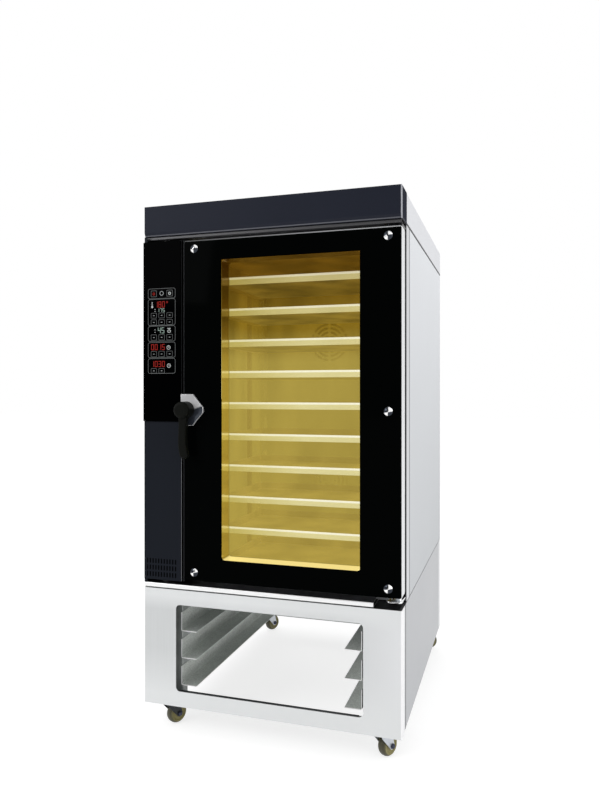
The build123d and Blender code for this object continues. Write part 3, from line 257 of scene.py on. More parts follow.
def relief(tree, target, height, strength, depth=0.0002):
    """Makes a surface uneven where a value varies, by bending its normal."""
    bump = put(tree, "Bump", Height=height, Strength=strength, Distance=depth)
    tree.links.new(bump.outputs[0], target["Normal"])


brushing, given, result = effect(
    "brushed sheet",
    {
        "Colour": ("Color", stainless_colour),
        "Stretch": ("Vector", stand_grain),
        "Streaks": ("Float", 0.06),
        "Gloss": ("Float", stainless_roughness),
    },
    {"Base Color": "Color", "Roughness": "Float", "Normal": "Vector"},
)
place = object_place(brushing)
streak = noise(brushing, 1.0, 3.0, stretched(brushing, place, given["Stretch"]))
smear = noise(brushing, 2.3, 2.0, place)
swing = spread(brushing, calc(brushing, "ADD", streak, smear), 0.6, 1.4, -0.5, 0.5)
swing = calc(brushing, "MULTIPLY", swing, given["Streaks"])
shaded = scaled(brushing, given["Colour"], calc(brushing, "ADD", swing, 1.0))
brushing.links.new(shaded, result["Base Color"])
gloss = calc(brushing, "MULTIPLY_ADD", swing, 1.2, given["Gloss"])
brushing.links.new(gloss, result["Roughness"])
relief(brushing, result, streak, scratch_depth)


def brushed(name, colour, grain, streaks, roughness, metallic, **settings):
    """Sheet with a directional grain: so many streaks a metre along X, Y and Z."""
    material, tree, shader = finish(name, Metallic=metallic, **settings)
    group = put(
        tree, "Group", node_tree=brushing, Colour=colour, Stretch=grain, Streaks=streaks,
        Gloss=roughness,
    )
    join_to(tree, shader, group)
    return material


def within(tree, limits):
    """1 inside a box given as low and high limits by axis, and 0 outside it."""
    along = axes(tree, object_place(tree))
    inside = None
    for axis, (low, high) in limits.items():
        span = calc(tree, "COMPARE", along[axis], (low + high) / 2, (high - low) / 2)
        inside = calc(tree, "MULTIPLY", inside, span) if inside else span
    return inside


def inward(edge, reach):
    """The limits of a band that starts just outside an outer edge and reaches in from it."""
    start = edge - math.copysign(edge_margin, reach)
    return (min(start, edge + reach), max(start, edge + reach))


def ramp(tree, axis, start, end, at_start=0.0, at_end=1.0):
    """A value that runs from one figure to another between two places along an axis."""
    return spread(tree, axes(tree, object_place(tree))[axis], start, end, at_start, at_end)


def facing(tree, axis):
    """How far a surface faces along an axis of its own body."""
    return axes(tree, put(tree, "TexCoord").outputs["Normal"])[axis]


def overlay(material, share, colour, socket="Base Color"):
    """Puts a colour over a finish where the share is 1."""
    tree = material.node_tree
    target = tree.nodes["Principled BSDF"].inputs[socket]
    plain = target.links[0].from_socket
    feed(tree, target, mixed(tree, share, plain, colour))


panel_low, panel_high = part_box("stand_end_panels")
rightward_sheen_start = 0.25
painted_sheen_bands = ((0.30, 0.14), (0.44, 0.49))
fold_highlight_width = 0.004
front_panel = {"Y": (-0.70, -0.30)}
opening_foot = {"Z": (0.12, 0.40)}
stand_front_steel = brushed(
    "brushed stainless, grain upright", (0.635, 0.65, 0.655, 1.0), stand_grain,
    streaks=0.10, roughness=0.36, metallic=0.75,
)
tree = stand_front_steel.node_tree
# Painted sheen: the front is painted lighter towards the right and in two bands across.
rightward_sheen = ramp(tree, "X", rightward_sheen_start, panel_high.x)
overlay(stand_front_steel, rightward_sheen, (0.78, 0.79, 0.805, 1.0))
for start, end in painted_sheen_bands:
    overlay(stand_front_steel, ramp(tree, "Z", start, end), (0.77, 0.785, 0.79, 1.0))
# Painted highlight: a near-white line down each folded front edge.
for end, reach in ((panel_low.x, fold_highlight_width), (panel_high.x, -fold_highlight_width)):
    fold_highlight = ramp(tree, "X", end + reach, end + reach / 2)
    painted_fold_shading = calc(tree, "MULTIPLY", fold_highlight, within(tree, front_panel))
    overlay(stand_front_steel, painted_fold_shading, (0.96, 0.96, 0.97, 1.0))
# Painted shade: the upturned faces of the opening's lower flange are painted near black.
upturned = spread(tree, facing(tree, "Z"), 0.6, 0.9)
low_flange_shade = calc(tree, "MULTIPLY", upturned, within(tree, opening_foot))
overlay(stand_front_steel, low_flange_shade, (0.05, 0.052, 0.055, 1.0))
dress(stand_front_steel, "stand_end_panels")

seam_reach = 0.026
stand_side_steel = brushed(
    "brushed stainless of the stand's sides", (0.46, 0.47, 0.49, 1.0), lengthwise_grain,
    streaks=0.08, roughness=0.38, metallic=0.75,
)
side_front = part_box("stand_sides")[0].y
seam_shadow = within(stand_side_steel.node_tree, {"Y": inward(side_front, seam_reach)})
overlay(stand_side_steel, seam_shadow, (0.16, 0.165, 0.175, 1.0))
dress(stand_side_steel, "stand_sides")

# Inside the stand: the deck, the two cross channels over the casters, the angle runners and
# their posts, all of galvanised sheet with its faint spangle.
zinc_sheet_colour = (0.36, 0.38, 0.37, 1.0)
hinge_recess_shade = {"X": (0.30, 0.48), "Y": (-0.70, -0.46)}
edge_highlight_depth = 0.003

spangle, given, result = effect(
    "zinc spangle",
    {
        "Colour": ("Color", zinc_sheet_colour),
        "Grains": ("Float", 90.0),
        "Contrast": ("Float", 0.14),
    },
    {"Base Color": "Color", "Roughness": "Float", "Normal": "Vector"},
)
place = object_place(spangle)
cells = put(spangle, "TexVoronoi", Vector=place, Scale=given["Grains"])
grain = put(spangle, "RGBToBW", Color=cells.outputs["Color"]).outputs[0]
mottle = calc(spangle, "ADD", grain, noise(spangle, 9.0, 4.0, place))
shade = calc(spangle, "MULTIPLY_ADD", mottle, given["Contrast"], 0.87)
spangle.links.new(scaled(spangle, given["Colour"], shade), result["Base Color"])
spangle.links.new(spread(spangle, mottle, 0.0, 2.0, 0.38, 0.62), result["Roughness"])
relief(spangle, result, grain, 0.08)


def galvanised(name, colour, grains=90.0, contrast=0.14, metallic=0.6):
    """Zinc-coated sheet or a zinc-plated pressing."""
    material, tree, shader = finish(name, Metallic=metallic)
    group = put(tree, "Group", node_tree=spangle, Colour=colour, Grains=grains, Contrast=contrast)
    join_to(tree, shader, group)
    return material


zinc_sheet = galvanised("galvanised sheet", zinc_sheet_colour)
dress(zinc_sheet, "caster_channels", "runner_posts")
deck_sheet = galvanised("galvanised deck", zinc_sheet_colour)
# Painted shade: the deck is painted near black in the recess under the hinge.
overlay(deck_sheet, within(deck_sheet.node_tree, hinge_recess_shade), (0.012, 0.012, 0.014, 1.0))
dress(deck_sheet, "stand_deck")
runner_zinc = galvanised(
    "galvanised runners", (0.46, 0.48, 0.46, 1.0), grains=260.0, contrast=0.55
)
runner_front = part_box("stand_runners")[0].y
# Painted highlight: the runners' front edges are painted near white.
runner_edge_highlight = within(runner_zinc.node_tree, {"Y": inward(runner_front, edge_highlight_depth)})
overlay(runner_zinc, runner_edge_highlight, (0.95, 0.95, 0.95, 1.0))
dress(runner_zinc, "stand_runners")

# Four swivel casters: a zinc-plated top plate and fork, a bolt as axle, and a solid wheel
# of hard polyurethane, olive brown, with a dished face and a rounded tread.
wheel_radius = 0.0375
rim_start, rim_end = 0.86, 0.97  # in wheel radii, like the bolt's reach
bolt_reach = 0.24
headings = {"front_left": 62.4, "front_right": 62.4, "rear_left": 62.4, "rear_right": 12.0}
shaded_leg = {"X": (-0.47, -0.30), "Y": (-0.62, -0.42), "Z": (0.0, 0.084)}
smooth_angle = 38.0


def refined(node, body, material, mark=None):
    """A CAD node's own shape as one mesh with smooth curves and flat flats, in its place."""
    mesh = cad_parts[node].data.copy()
    mesh.name = node + "_finish"
    shape = bmesh.new()
    shape.from_mesh(mesh)
    bmesh.ops.remove_doubles(shape, verts=shape.verts, dist=0.00001)
    if mark:
        layer = shape.loops.layers.uv.new("face_place")
        for face in shape.faces:
            for corner in face.loops:
                corner[layer].uv = mark(corner.vert.co, face.calc_center_median())
    shape.to_mesh(mesh)
    shape.free()
    piece = bpy.data.objects.new(node + "_finish", mesh)
    bpy.context.scene.collection.objects.link(piece)
    mesh.materials.clear()
    mesh.materials.append(material)
    bpy.ops.object.select_all(action="DESELECT")
    piece.select_set(True)
    bpy.context.view_layer.objects.active = piece
    bpy.ops.object.shade_smooth_by_angle(angle=math.radians(smooth_angle), keep_sharp_edges=False)
    bpy.ops.object.modifier_add(type="WEIGHTED_NORMAL")
    piece.modifiers[-1].keep_sharp = True
    bpy.ops.object.modifier_apply(modifier=piece.modifiers[-1].name)
    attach(piece, body)
    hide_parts(node)
    return piece


bright_zinc = galvanised(
    "bright zinc plate", (0.62, 0.65, 0.68, 1.0), grains=240.0, contrast=0.08, metallic=0.85
)
tread_rubber, tree, shader = finish("olive polyurethane", Specular_IOR_Level=0.5)
from_hub = axes(tree, put(tree, "TexCoord").outputs["UV"])["X"]
stain = noise(tree, 26.0, 4.0)
colour = mixed(tree, stain, (0.44, 0.39, 0.14, 1.0), (0.25, 0.22, 0.08, 1.0))
at_rim = spread(tree, from_hub, rim_start, rim_end)
tread_colour = mixed(tree, at_rim, colour, (0.07, 0.065, 0.03, 1.0))
tree.links.new(tread_colour, shader.inputs["Base Color"])
tree.links.new(spread(tree, stain, 0.0, 1.0, 0.32, 0.5), shader.inputs["Roughness"])
fork_zinc = galvanised(
    "zinc fork with its bolt", (0.66, 0.69, 0.73, 1.0), grains=240.0, contrast=0.08, metallic=0.85
)
tree = fork_zinc.node_tree
from_bolt = axes(tree, put(tree, "TexCoord").outputs["UV"])["Y"]
overlay(fork_zinc, within(tree, shaded_leg), (0.045, 0.048, 0.05, 1.0))
overlay(fork_zinc, calc(tree, "LESS_THAN", from_bolt, bolt_reach), (0.06, 0.065, 0.10, 1.0))
refined("caster_top_plates", "cabinet", bright_zinc)
for corner, heading in headings.items():
    low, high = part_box("caster_wheel_" + corner)
    hub_place = (low + high) / 2
    axle = Vector((-math.sin(math.radians(heading)), math.cos(math.radians(heading)), 0.0))

    def from_axle(point, middle):
        """How far a point and its face's middle are from the hub, in wheel radii."""
        across = middle - hub_place
        across -= axle * across.dot(axle)
        return ((point - hub_place).length / wheel_radius, across.length / wheel_radius)

    refined("caster_wheel_" + corner, "wheel_" + corner, tread_rubber, from_axle)
    refined("caster_fork_" + corner, "fork_" + corner, fork_zinc, from_axle)

# The cabinet: brushed stainless side panels, front frame, rail, rear cover and top cover over
# a galvanised floor pan and motor bulkhead, each sheet folded at its edges.
upright_grain = (260.0, 260.0, 4.0)
crosswise_grain = (5.0, 260.0, 260.0)
side_shade_width = 0.012
door_gap_shade_width = 0.05
door_gap_shade_depth = 0.003
top_seam_shadow_height = 0.0075
shaded_pan_corners = [{"X": span, "Y": (-0.70, -0.40)} for span in ((-0.48, -0.31), (0.30, 0.48))]

front_steel = brushed(
    "brushed stainless, grain across", (0.95, 0.955, 0.955, 1.0), crosswise_grain,
    streaks=0.08, roughness=0.34, metallic=0.75,
)
tree = front_steel.node_tree
rail_top_shade = spread(tree, facing(tree, "Z"), 0.5, 0.8)
overlay(front_steel, rail_top_shade, (0.03, 0.03, 0.032, 1.0))
dress(front_steel, "base_rail")

panel_steel = brushed(
    "brushed stainless panels", (0.83, 0.85, 0.88, 1.0), upright_grain,
    streaks=0.08, roughness=0.48, metallic=0.65,
)
panel_foot, panel_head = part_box("side_panels")
tree = panel_steel.node_tree
# Painted shade: the panels are painted darker towards the bottom.
lower_shade = ramp(tree, "Z", panel_head.z, panel_foot.z)
overlay(panel_steel, lower_shade, (0.56, 0.58, 0.60, 1.0))
# Painted shade: a dark band along the panels' folded front edge.
painted_fold_shading = within(tree, {"Y": inward(panel_foot.y, side_shade_width)})
overlay(panel_steel, painted_fold_shading, (0.20, 0.205, 0.215, 1.0))
dress(panel_steel, "side_panels", "rear_cover")

frame_steel = brushed(
    "brushed stainless frame", (0.66, 0.67, 0.69, 1.0), upright_grain,
    streaks=0.08, roughness=0.36, metallic=0.75,
)
frame_low, frame_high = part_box("front_frame")
# Painted shade: a dark band on the frame where the gap beside the door is.
door_gap_shade_limits = {
    "X": inward(frame_high.x, -door_gap_shade_width), "Y": inward(frame_low.y, door_gap_shade_depth)
}
overlay(frame_steel, within(frame_steel.node_tree, door_gap_shade_limits), (0.02, 0.02, 0.022, 1.0))
dress(frame_steel, "front_frame")

top_steel = brushed(
    "brushed stainless of the top", (0.79, 0.80, 0.83, 1.0), lengthwise_grain,
    streaks=0.06, roughness=0.46, metallic=0.75,
)
tree = top_steel.node_tree
# Painted shadow: a dark line along the top cover's lower seam.
top_seam_shadow = within(tree, {"Z": inward(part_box("top_cover")[0].z, top_seam_shadow_height)})
overlay(top_steel, top_seam_shadow, (0.02, 0.02, 0.025, 1.0))
# Painted shade: upward faces of the top are painted darker; they are also made rougher.
lying = spread(tree, facing(tree, "Z"), 0.5, 0.9)
overlay(top_steel, lying, (0.56, 0.57, 0.59, 1.0))
overlay(top_steel, lying, (0.62, 0.62, 0.62, 1.0), "Roughness")
dress(top_steel, "top_cover")

dress(zinc_sheet, "motor_bulkhead")
pan_sheet = galvanised("galvanised floor pan", zinc_sheet_colour)
# Painted shade: the floor pan's front corners are painted near black.
for limits in shaded_pan_corners:
    overlay(pan_sheet, within(pan_sheet.node_tree, limits), (0.01, 0.01, 0.01, 1.0))
dress(pan_sheet, "cabinet_pan")

# The hood: a folded front in dark navy powder coat that rounds both corners and slants back
# under its hem, over a grey anodised strip set back above the door.
navy_colour = (0.0178, 0.0208, 0.0335, 1.0)
hem_light_height = 0.0135
hem_highlight_from, hem_highlight_to = 0.0008, 0.0044
corner_highlight_width, corner_highlight_depth = 0.0032, 0.0125

powder, given, result = effect(
    "powder coat",
    {
        "Colour": ("Color", navy_colour),
        "Gloss": ("Float", 0.42),
        "Orange peel": ("Float", 0.06),
    },
    {"Base Color": "Color", "Roughness": "Float", "Normal": "Vector"},
)
place = object_place(powder)
peel = noise(powder, 900.0, 2.0, place)
cloud = noise(powder, 3.0, 3.0, place)
light = spread(powder, cloud, 0.0, 1.0, 0.9, 1.1)
powder.links.new(scaled(powder, given["Colour"], light), result["Base Color"])
powder.links.new(calc(powder, "MULTIPLY_ADD", cloud, 0.08, given["Gloss"]), result["Roughness"])
relief(powder, result, peel, given["Orange peel"])


def powder_coated(name, colour, gloss=0.42, peel=0.06, specular=0.08):
    """A sprayed and baked coat with a faint orange peel."""
    material, tree, shader = finish(name, Specular_IOR_Level=specular)
    group = put(tree, "Group", node_tree=powder, Colour=colour, Gloss=gloss)
    group.inputs["Orange peel"].default_value = peel
    join_to(tree, shader, group)
    return material


navy_paint = powder_coated("navy powder coat", navy_colour)
hood_low, hood_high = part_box("hood_fascia")
tree = navy_paint.node_tree
# Painted light: the hem band is painted a little lighter, with a painted highlight line near its
# foot.
painted_hem_light = within(tree, {"Z": inward(hood_low.z, hem_light_height)})
overlay(navy_paint, painted_hem_light, (0.026, 0.029, 0.042, 1.0))
hem_highlight = within(tree, {"Z": (hood_low.z + hem_highlight_from, hood_low.z + hem_highlight_to)})
overlay(navy_paint, hem_highlight, (0.17, 0.175, 0.20, 1.0))
side_return = spread(tree, facing(tree, "X"), 0.5, 0.9)
overlay(navy_paint, side_return, (0.95, 0.95, 0.95, 1.0), "Roughness")
# Painted highlight: a pale band down the hood's right front corner.
corner_highlight = within(
    tree, {"X": inward(hood_high.x, -corner_highlight_width), "Y": inward(hood_low.y, corner_highlight_depth)}
)
overlay(navy_paint, corner_highlight, (0.56, 0.57, 0.62, 1.0))
dress(navy_paint, "hood_fascia")
grey_anodised = brushed(
    "grey anodised strip", (0.085, 0.085, 0.09, 1.0), (5.0, 300.0, 300.0),
    streaks=0.08, roughness=0.4, metallic=0.5,
)
dress(grey_anodised, "under_hood_lip")

# The control column: a touch glass printed black on its back over a dark painted cover
# with air slots, and the same paint on the cabinet's folded left corner.
touch_black, tree, shader = finish(
    "black touch glass", Base_Color=(0.0006, 0.0007, 0.0008, 1.0), Specular_IOR_Level=0.004
)
wiped = noise(tree, 7.0, 3.0)
tree.links.new(spread(tree, wiped, 0.0, 1.0, 0.05, 0.12), shader.inputs["Roughness"])
dress(touch_black, "control_glass")

pad_size = Vector((0.132, 0.0042, 0.080))
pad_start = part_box("lower_cover")[0] + Vector((0.004, 0.0018, 0.002))
pad_end = pad_start + pad_size
slot_field = {"X": (pad_start.x, pad_end.x), "Z": (pad_start.z, pad_end.z)}
cover_paint = powder_coated("dark cover paint", (0.0098, 0.0122, 0.0182, 1.0))
tree = cover_paint.node_tree
# Painted shade: the walls inside the air slots are painted black.
shaded_slot_walls = calc(
    tree, "MULTIPLY", within(tree, slot_field), calc(tree, "GREATER_THAN", facing(tree, "Y"), -0.7)
)
overlay(cover_paint, shaded_slot_walls, (0.0005, 0.0005, 0.0005, 1.0))
overlay(cover_paint, shaded_slot_walls, (0.9, 0.9, 0.9, 1.0), "Roughness")
dress(cover_paint, "lower_cover", "left_corner")

# A thin black pad with softened edges behind the cover's air slots: painted shade, put there
# so that the slots look black. It sits against the cover's back.
pad_edge = 0.0014
bpy.ops.object.select_all(action="DESELECT")
bpy.ops.mesh.primitive_cube_add(size=1.0, location=pad_start + pad_size / 2)
shade_pad = bpy.context.object
shade_pad.name = shade_pad.data.name = "slot_shade_pad"
shade_pad.scale = pad_size
bpy.ops.object.transform_apply(location=True, rotation=True, scale=True)
bpy.ops.object.mode_set(mode="EDIT")
bpy.ops.mesh.select_all(action="SELECT")
bpy.ops.mesh.bevel(offset=pad_edge, segments=3, affect="EDGES")
bpy.ops.object.mode_set(mode="OBJECT")
bpy.ops.object.shade_smooth_by_angle(angle=math.radians(smooth_angle))
shade_pad_black, tree, shader = finish("black pad of painted shade", Roughness=0.95, Specular_IOR_Level=0.0)
lint = noise(tree, 700.0, 5.0)
lint_colour = mixed(tree, lint, (0.001, 0.001, 0.001, 1.0), (0.004, 0.004, 0.004, 1.0))
tree.links.new(lint_colour, shader.inputs["Base Color"])
relief(tree, shader.inputs, lint, 0.5, 0.0005)
shade_pad.data.materials.append(shade_pad_black)
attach(shade_pad, "cabinet")

# Behind the column: a folded and primed tray carries the control board, three contactors and
# a terminal block in pale mouldings. The cable gland at the back is moulded of the same.
tray_primer = powder_coated("grey tray primer", (0.05, 0.05, 0.05, 1.0), gloss=0.6)
dress(tray_primer, "control_tray")
solder_mask = powder_coated(
    "green solder mask", (0.02, 0.13, 0.06, 1.0), gloss=0.3, peel=0.1, specular=0.5
)
dress(solder_mask, "display_board")
pale_moulding = powder_coated(
    "pale moulded housing", (0.55, 0.55, 0.52, 1.0), gloss=0.5, peel=0.1, specular=0.4
)
dress(pale_moulding, "switchgear")
refined("cable_gland", "cabinet", pale_moulding)

# The extruded trim between the column and the door: a U whose two thin legs stand forward,
# with a painted highlight on the left leg's front edge and painted shade in the groove between
# them.
trim_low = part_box("column_trim")[0]
leg_width = 0.003
groove_shade_from, groove_shade_to = 0.0002, 0.002
leg_highlight_below = 1.118
trim_metal = brushed(
    "anodised trim", (0.055, 0.058, 0.062, 1.0), (300.0, 300.0, 5.0),
    streaks=0.08, roughness=0.4, metallic=0.4, Specular_IOR_Level=0.1,
)
tree = trim_metal.node_tree
# Painted highlight: the left leg's front edge, below the touch glass.
leg_highlight = {"X": inward(trim_low.x, leg_width), "Z": (trim_low.z, leg_highlight_below)}
overlay(trim_metal, within(tree, leg_highlight), (0.30, 0.31, 0.33, 1.0))
# Painted shade: the groove between the legs darkens to black.
groove_shade = ramp(tree, "Y", trim_low.y + groove_shade_from, trim_low.y + groove_shade_to)
overlay(trim_metal, groove_shade, (0.002, 0.002, 0.002, 1.0))
dress(trim_metal, "column_trim")

# The print on the touch glass: rounded boxes in thin grey lines, keys, numbers in red and
# pale green light, and plain marks for captions. The strip under the boxes stays bare.
glass_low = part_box("control_glass")[0]
print_lift = 0.0002
print_base = 1022.0
line_width = 1.3
digit_segments = {
    0: "abcdef", 1: "bc", 2: "abged", 3: "abgcd", 4: "fgbc",
    5: "afgcd", 6: "afgedc", 7: "abc", 8: "abcdefg", 9: "abcdfg",
}
segment_ends = {
    "a": ((0, 2), (1, 2)), "b": ((1, 1), (1, 2)), "c": ((1, 0), (1, 1)), "d": ((0, 0), (1, 0)),
    "e": ((0, 0), (0, 1)), "f": ((0, 1), (0, 2)), "g": ((0, 1), (1, 1)),
}
print_colours = {
    "grey line": (0.19, 0.20, 0.20),
    "pale mark": (0.45, 0.47, 0.47),
    "white icon": (0.70, 0.74, 0.73),
    "red light": (0.42, 0.025, 0.018),
    "pale light": (0.36, 0.48, 0.42),
}
print_meshes = {}


def printed(colour, outline):
    """Adds one flat shape in a print colour. Its points are in mm: across from the glass's
    left edge, and up, where print_base is the glass's lower edge."""
    shape = print_meshes.setdefault(colour, bmesh.new())
    corners_in_place = []
    for u, v in outline:
        across = glass_low.x + u / 1000.0
        height = glass_low.z + (v - print_base) / 1000.0
        corners_in_place.append(shape.verts.new((across, glass_low.y - print_lift, height)))
    shape.faces.new(corners_in_place)


def block(colour, left, right, bottom, top):
    """A filled rectangle."""
    printed(colour, ((left, bottom), (right, bottom), (right, top), (left, top)))


def stroke(colour, start, end, width):
    """A straight line with square ends."""
    run = Vector(end) - Vector(start)
    side = Vector((-run.y, run.x)).normalized() * width / 2
    over = run.normalized() * width * 0.25
    a, b = Vector(start) - over, Vector(end) + over
    printed(colour, (a - side, b - side, b + side, a + side))


def rounded(left, right, bottom, top, radius, steps=5):
    """The points of a rectangle with rounded corners, counter-clockwise."""
    middles = ((right - radius, top - radius), (left + radius, top - radius))
    middles += ((left + radius, bottom + radius), (right - radius, bottom + radius))
    points = []
    for quarter, (u, v) in enumerate(middles):
        for step in range(steps + 1):
            angle = math.pi / 2 * (quarter + step / steps)
            points.append((u + radius * math.cos(angle), v + radius * math.sin(angle)))
    return points


def ring(colour, left, right, bottom, top, radius, width):
    """The outline of a rounded box, as a band of short flat pieces."""
    outer = rounded(left, right, bottom, top, radius)
    inner_radius = max(radius - width, 0.1)
    inner = rounded(left + width, right - width, bottom + width, top - width, inner_radius)
    for i in range(len(outer)):
        j = (i + 1) % len(outer)
        printed(colour, (outer[i], outer[j], inner[j], inner[i]))


def number(colour, text, left, right, bottom, top):
    """Figures of seven segments that fill a field."""
    pitch = (right - left) / len(text)
    width = pitch * 0.62
    height = (top - bottom) / 2
    for place, figure in enumerate(text):
        start = left + pitch * place + pitch * 0.14
        for segment in digit_segments[int(figure)]:
            (a, b), (c, d) = segment_ends[segment]
            first = (start + a * width, bottom + b * height)
            stroke(colour, first, (start + c * width, bottom + d * height), pitch * 0.15)


def keys(columns, bottom, top):
    """Touch keys: a grey outline with a small pale mark in the middle."""
    for left, right in columns:
        ring("grey line", left, right, bottom, top, 3.0, line_width * 0.8)
        middle = (left + right) / 2
        height = (bottom + top) / 2
        block("pale mark", middle - 3.0, middle + 3.0, height - 1.0, height + 1.0)


key_columns = ((31, 54), (62, 86), (94, 118))
for bottom, top in ((1464, 1501), (1367, 1463), (1310, 1366), (1251, 1307), (1194, 1249)):
    ring("grey line", 19, 129, bottom, top, 8.0, line_width)
# Power, a round mode mark and the light key.
for left, right, colour in ((31, 54, "red light"), (94, 118, "white icon")):
    ring("grey line", left, right, 1471, 1494, 3.0, line_width)
    ring(colour, left + 7, right - 7, 1477, 1487, 4.0, 2.2)
ring("pale mark", 66, 82, 1475, 1491, 7.9, 2.0)
# Thermometer, set temperature with its degree ring, and the core temperature under it.
ring("white icon", 34, 38, 1436, 1453, 1.9, 1.2)
ring("white icon", 32, 40, 1431, 1439, 3.9, 3.0)
number("red light", "180", 46, 89, 1433, 1453)
ring("red light", 92, 99, 1447, 1454, 3.4, 1.6)
number("pale light", "175", 55, 88, 1416, 1428)
for height in (1426, 1419, 1352, 1343):
    block("pale mark", 45, 50, height - 1, height + 1)
keys(key_columns, 1394, 1413)
keys(key_columns, 1369, 1389)
# Steam in per cent with its drop, the clock with its dial and the timer with its wheel.
number("pale light", "45", 58, 87, 1340, 1359)
ring("white icon", 97, 111, 1341, 1351, 4.9, 2.0)
stroke("white icon", (104, 1351), (104, 1357), 2.0)
stroke("white icon", (98, 1356), (110, 1356), 2.0)
keys(key_columns, 1314, 1335)
for text, height, (u, v) in (("0015", 1280, (102, 1287.5)), ("1030", 1219, (103, 1222.5))):
    number("red light", text, 31, 89, height, height + 19)
    ring("white icon", u - 7.5, u + 7.5, v - 7.5, v + 7.5, 7.4, 1.8)
    stroke("white icon", (u, v), (u, v + 4.5), 1.4)
    stroke("white icon", (u, v), (u + 3.5, v), 1.4)
keys(key_columns, 1254, 1275)
keys(key_columns[:2], 1195, 1213)
for colour, shape in print_meshes.items():
    mesh = bpy.data.meshes.new("print_" + colour.replace(" ", "_"))
    shape.to_mesh(mesh)
    shape.free()
    # The print glows over a black base: in the red and pale green numbers this is the displays'
    # own light; in the grey lines, pale marks and white icons the glow is painted light.
    ink, tree, shader = finish(
        "print, " + colour, Base_Color=(0.01, 0.01, 0.01, 1.0), Roughness=0.5,
        Specular_IOR_Level=0.0, Emission_Strength=0.8,
    )
    shade = spread(tree, noise(tree, 220.0, 2.0), 0.3, 0.7, 0.8, 1.1)
    tree.links.new(scaled(tree, print_colours[colour], shade), shader.inputs["Emission Color"])
    mesh.materials.append(ink)
    piece = bpy.data.objects.new(mesh.name, mesh)
    bpy.context.scene.collection.objects.link(piece)
    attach(piece, "cabinet")

# The chamber's painted lamp light: a glow given to its surfaces, warm and even, painted darker
# and browner towards the top as shade, with soft upright blotches of baked-on film. Each surface
# passes its own tone to it.
lamp_gold = (0.425, 0.33, 0.066, 1.0)
top_shade_from, top_shade_to = 1.35, 1.49
darkest_from, darkest_to = 1.53, 1.68
blotch_stretch = (7.0, 7.0, 1.6)

painted_light_group, given, result = effect(
    "painted lamp light",
    {"Tone": ("Color", lamp_gold), "Fade": ("Float", 1.0), "Blotches": ("Float", 0.18)},
    {"Emission Color": "Color"},
)
place = object_place(painted_light_group)
height = axes(painted_light_group, place)["Z"]
upward = spread(painted_light_group, height, top_shade_from, top_shade_to)
blotch = noise(painted_light_group, 1.0, 3.0, stretched(painted_light_group, place, blotch_stretch))
blotch = spread(painted_light_group, blotch, 0.35, 0.65, -0.5, 0.5)
top_share = calc(painted_light_group, "MULTIPLY_ADD", upward, 1.6, 0.5)
blotch = calc(painted_light_group, "MULTIPLY", blotch, given["Blotches"])
blotch = calc(painted_light_group, "MULTIPLY", blotch, top_share)
blotched = scaled(painted_light_group, given["Tone"], calc(painted_light_group, "ADD", 1.0, blotch))
fade = calc(painted_light_group, "MULTIPLY", upward, given["Fade"])
painted_top_shade = mixed(painted_light_group, fade, white, (0.46, 0.37, 0.15, 1.0))
highest = spread(painted_light_group, height, darkest_from, darkest_to)
highest = calc(painted_light_group, "MULTIPLY", highest, given["Fade"])
painted_top_shade = mixed(painted_light_group, highest, painted_top_shade, (0.24, 0.15, 0.05, 1.0))
glow = mixed(painted_light_group, 1.0, blotched, painted_top_shade, "MULTIPLY")
painted_light_group.links.new(glow, result["Emission Color"])


def give_painted_glow(material, tone, fade=1.0, blotches=0.18):
    """Lets a chamber surface glow in its own tone, as painted lamp light."""
    tree = material.node_tree
    shader = tree.nodes["Principled BSDF"]
    group = put(tree, "Group", node_tree=painted_light_group, Tone=tone, Fade=fade, Blotches=blotches)
    join_to(tree, shader, group)
    shader.inputs["Emission Strength"].default_value = 1.0
    return material


def painted_glow_colour(tree, tone):
    """The painted lamp light's colour in one tone, to mix with others."""
    return put(tree, "Group", node_tree=painted_light_group, Tone=tone).outputs["Emission Color"]


# The door: a clear outer pane whose border is hidden by the black enamelled sheet behind it,
# with a stainless frame and inner panel, the inner pane and a silicone seal. Inside the
# opening of the sheet its sleeve is bare steel, golden with painted lamp light.
black = (0.0, 0.0, 0.0, 1.0)
enamel_black = (0.0018, 0.0022, 0.0020, 1.0)
enamel_roughness = 0.25
enamel_depth = -0.5640
window_width = (-0.167, 0.331)
window_height = (0.632, 1.691)
corner_limits = {"X": window_width, "Y": (-0.60, enamel_depth), "Z": (1.2, window_height[1])}
black_enamel = powder_coated(
    "black enamel", enamel_black, gloss=enamel_roughness, peel=0.02, specular=0.03
)
tree = black_enamel.node_tree
shader = tree.nodes["Principled BSDF"]
behind = calc(tree, "GREATER_THAN", axes(tree, object_place(tree))["Y"], enamel_depth)
# Painted lamp light: the sleeve and the window's upper corners are painted golden and glow.
upper_corners = within(tree, corner_limits)
sleeve = calc(tree, "MAXIMUM", behind, upper_corners)
overlay(black_enamel, sleeve, painted_glow_colour(tree, (0.80, 0.70, 0.35, 1.0)))
shine = calc(tree, "MULTIPLY_ADD", sleeve, -0.12, enamel_roughness)
feed(tree, shader.inputs["Roughness"], shine)
feed(tree, shader.inputs["Metallic"], behind)
glow = mixed(tree, sleeve, black, painted_glow_colour(tree, (0.07, 0.05, 0.009, 1.0)))
glow = mixed(tree, upper_corners, glow, painted_glow_colour(tree, lamp_gold))
# Painted light: the sleeve's upward faces at the sill glow pale gold.
sill_light = calc(tree, "MULTIPLY", behind, spread(tree, facing(tree, "Z"), 0.6, 0.9))
glow = mixed(tree, sill_light, glow, (0.72, 0.62, 0.26, 1.0))
feed(tree, shader.inputs["Emission Color"], glow)
shader.inputs["Emission Strength"].default_value = 1.0
dress(black_enamel, "door_front_sheet")

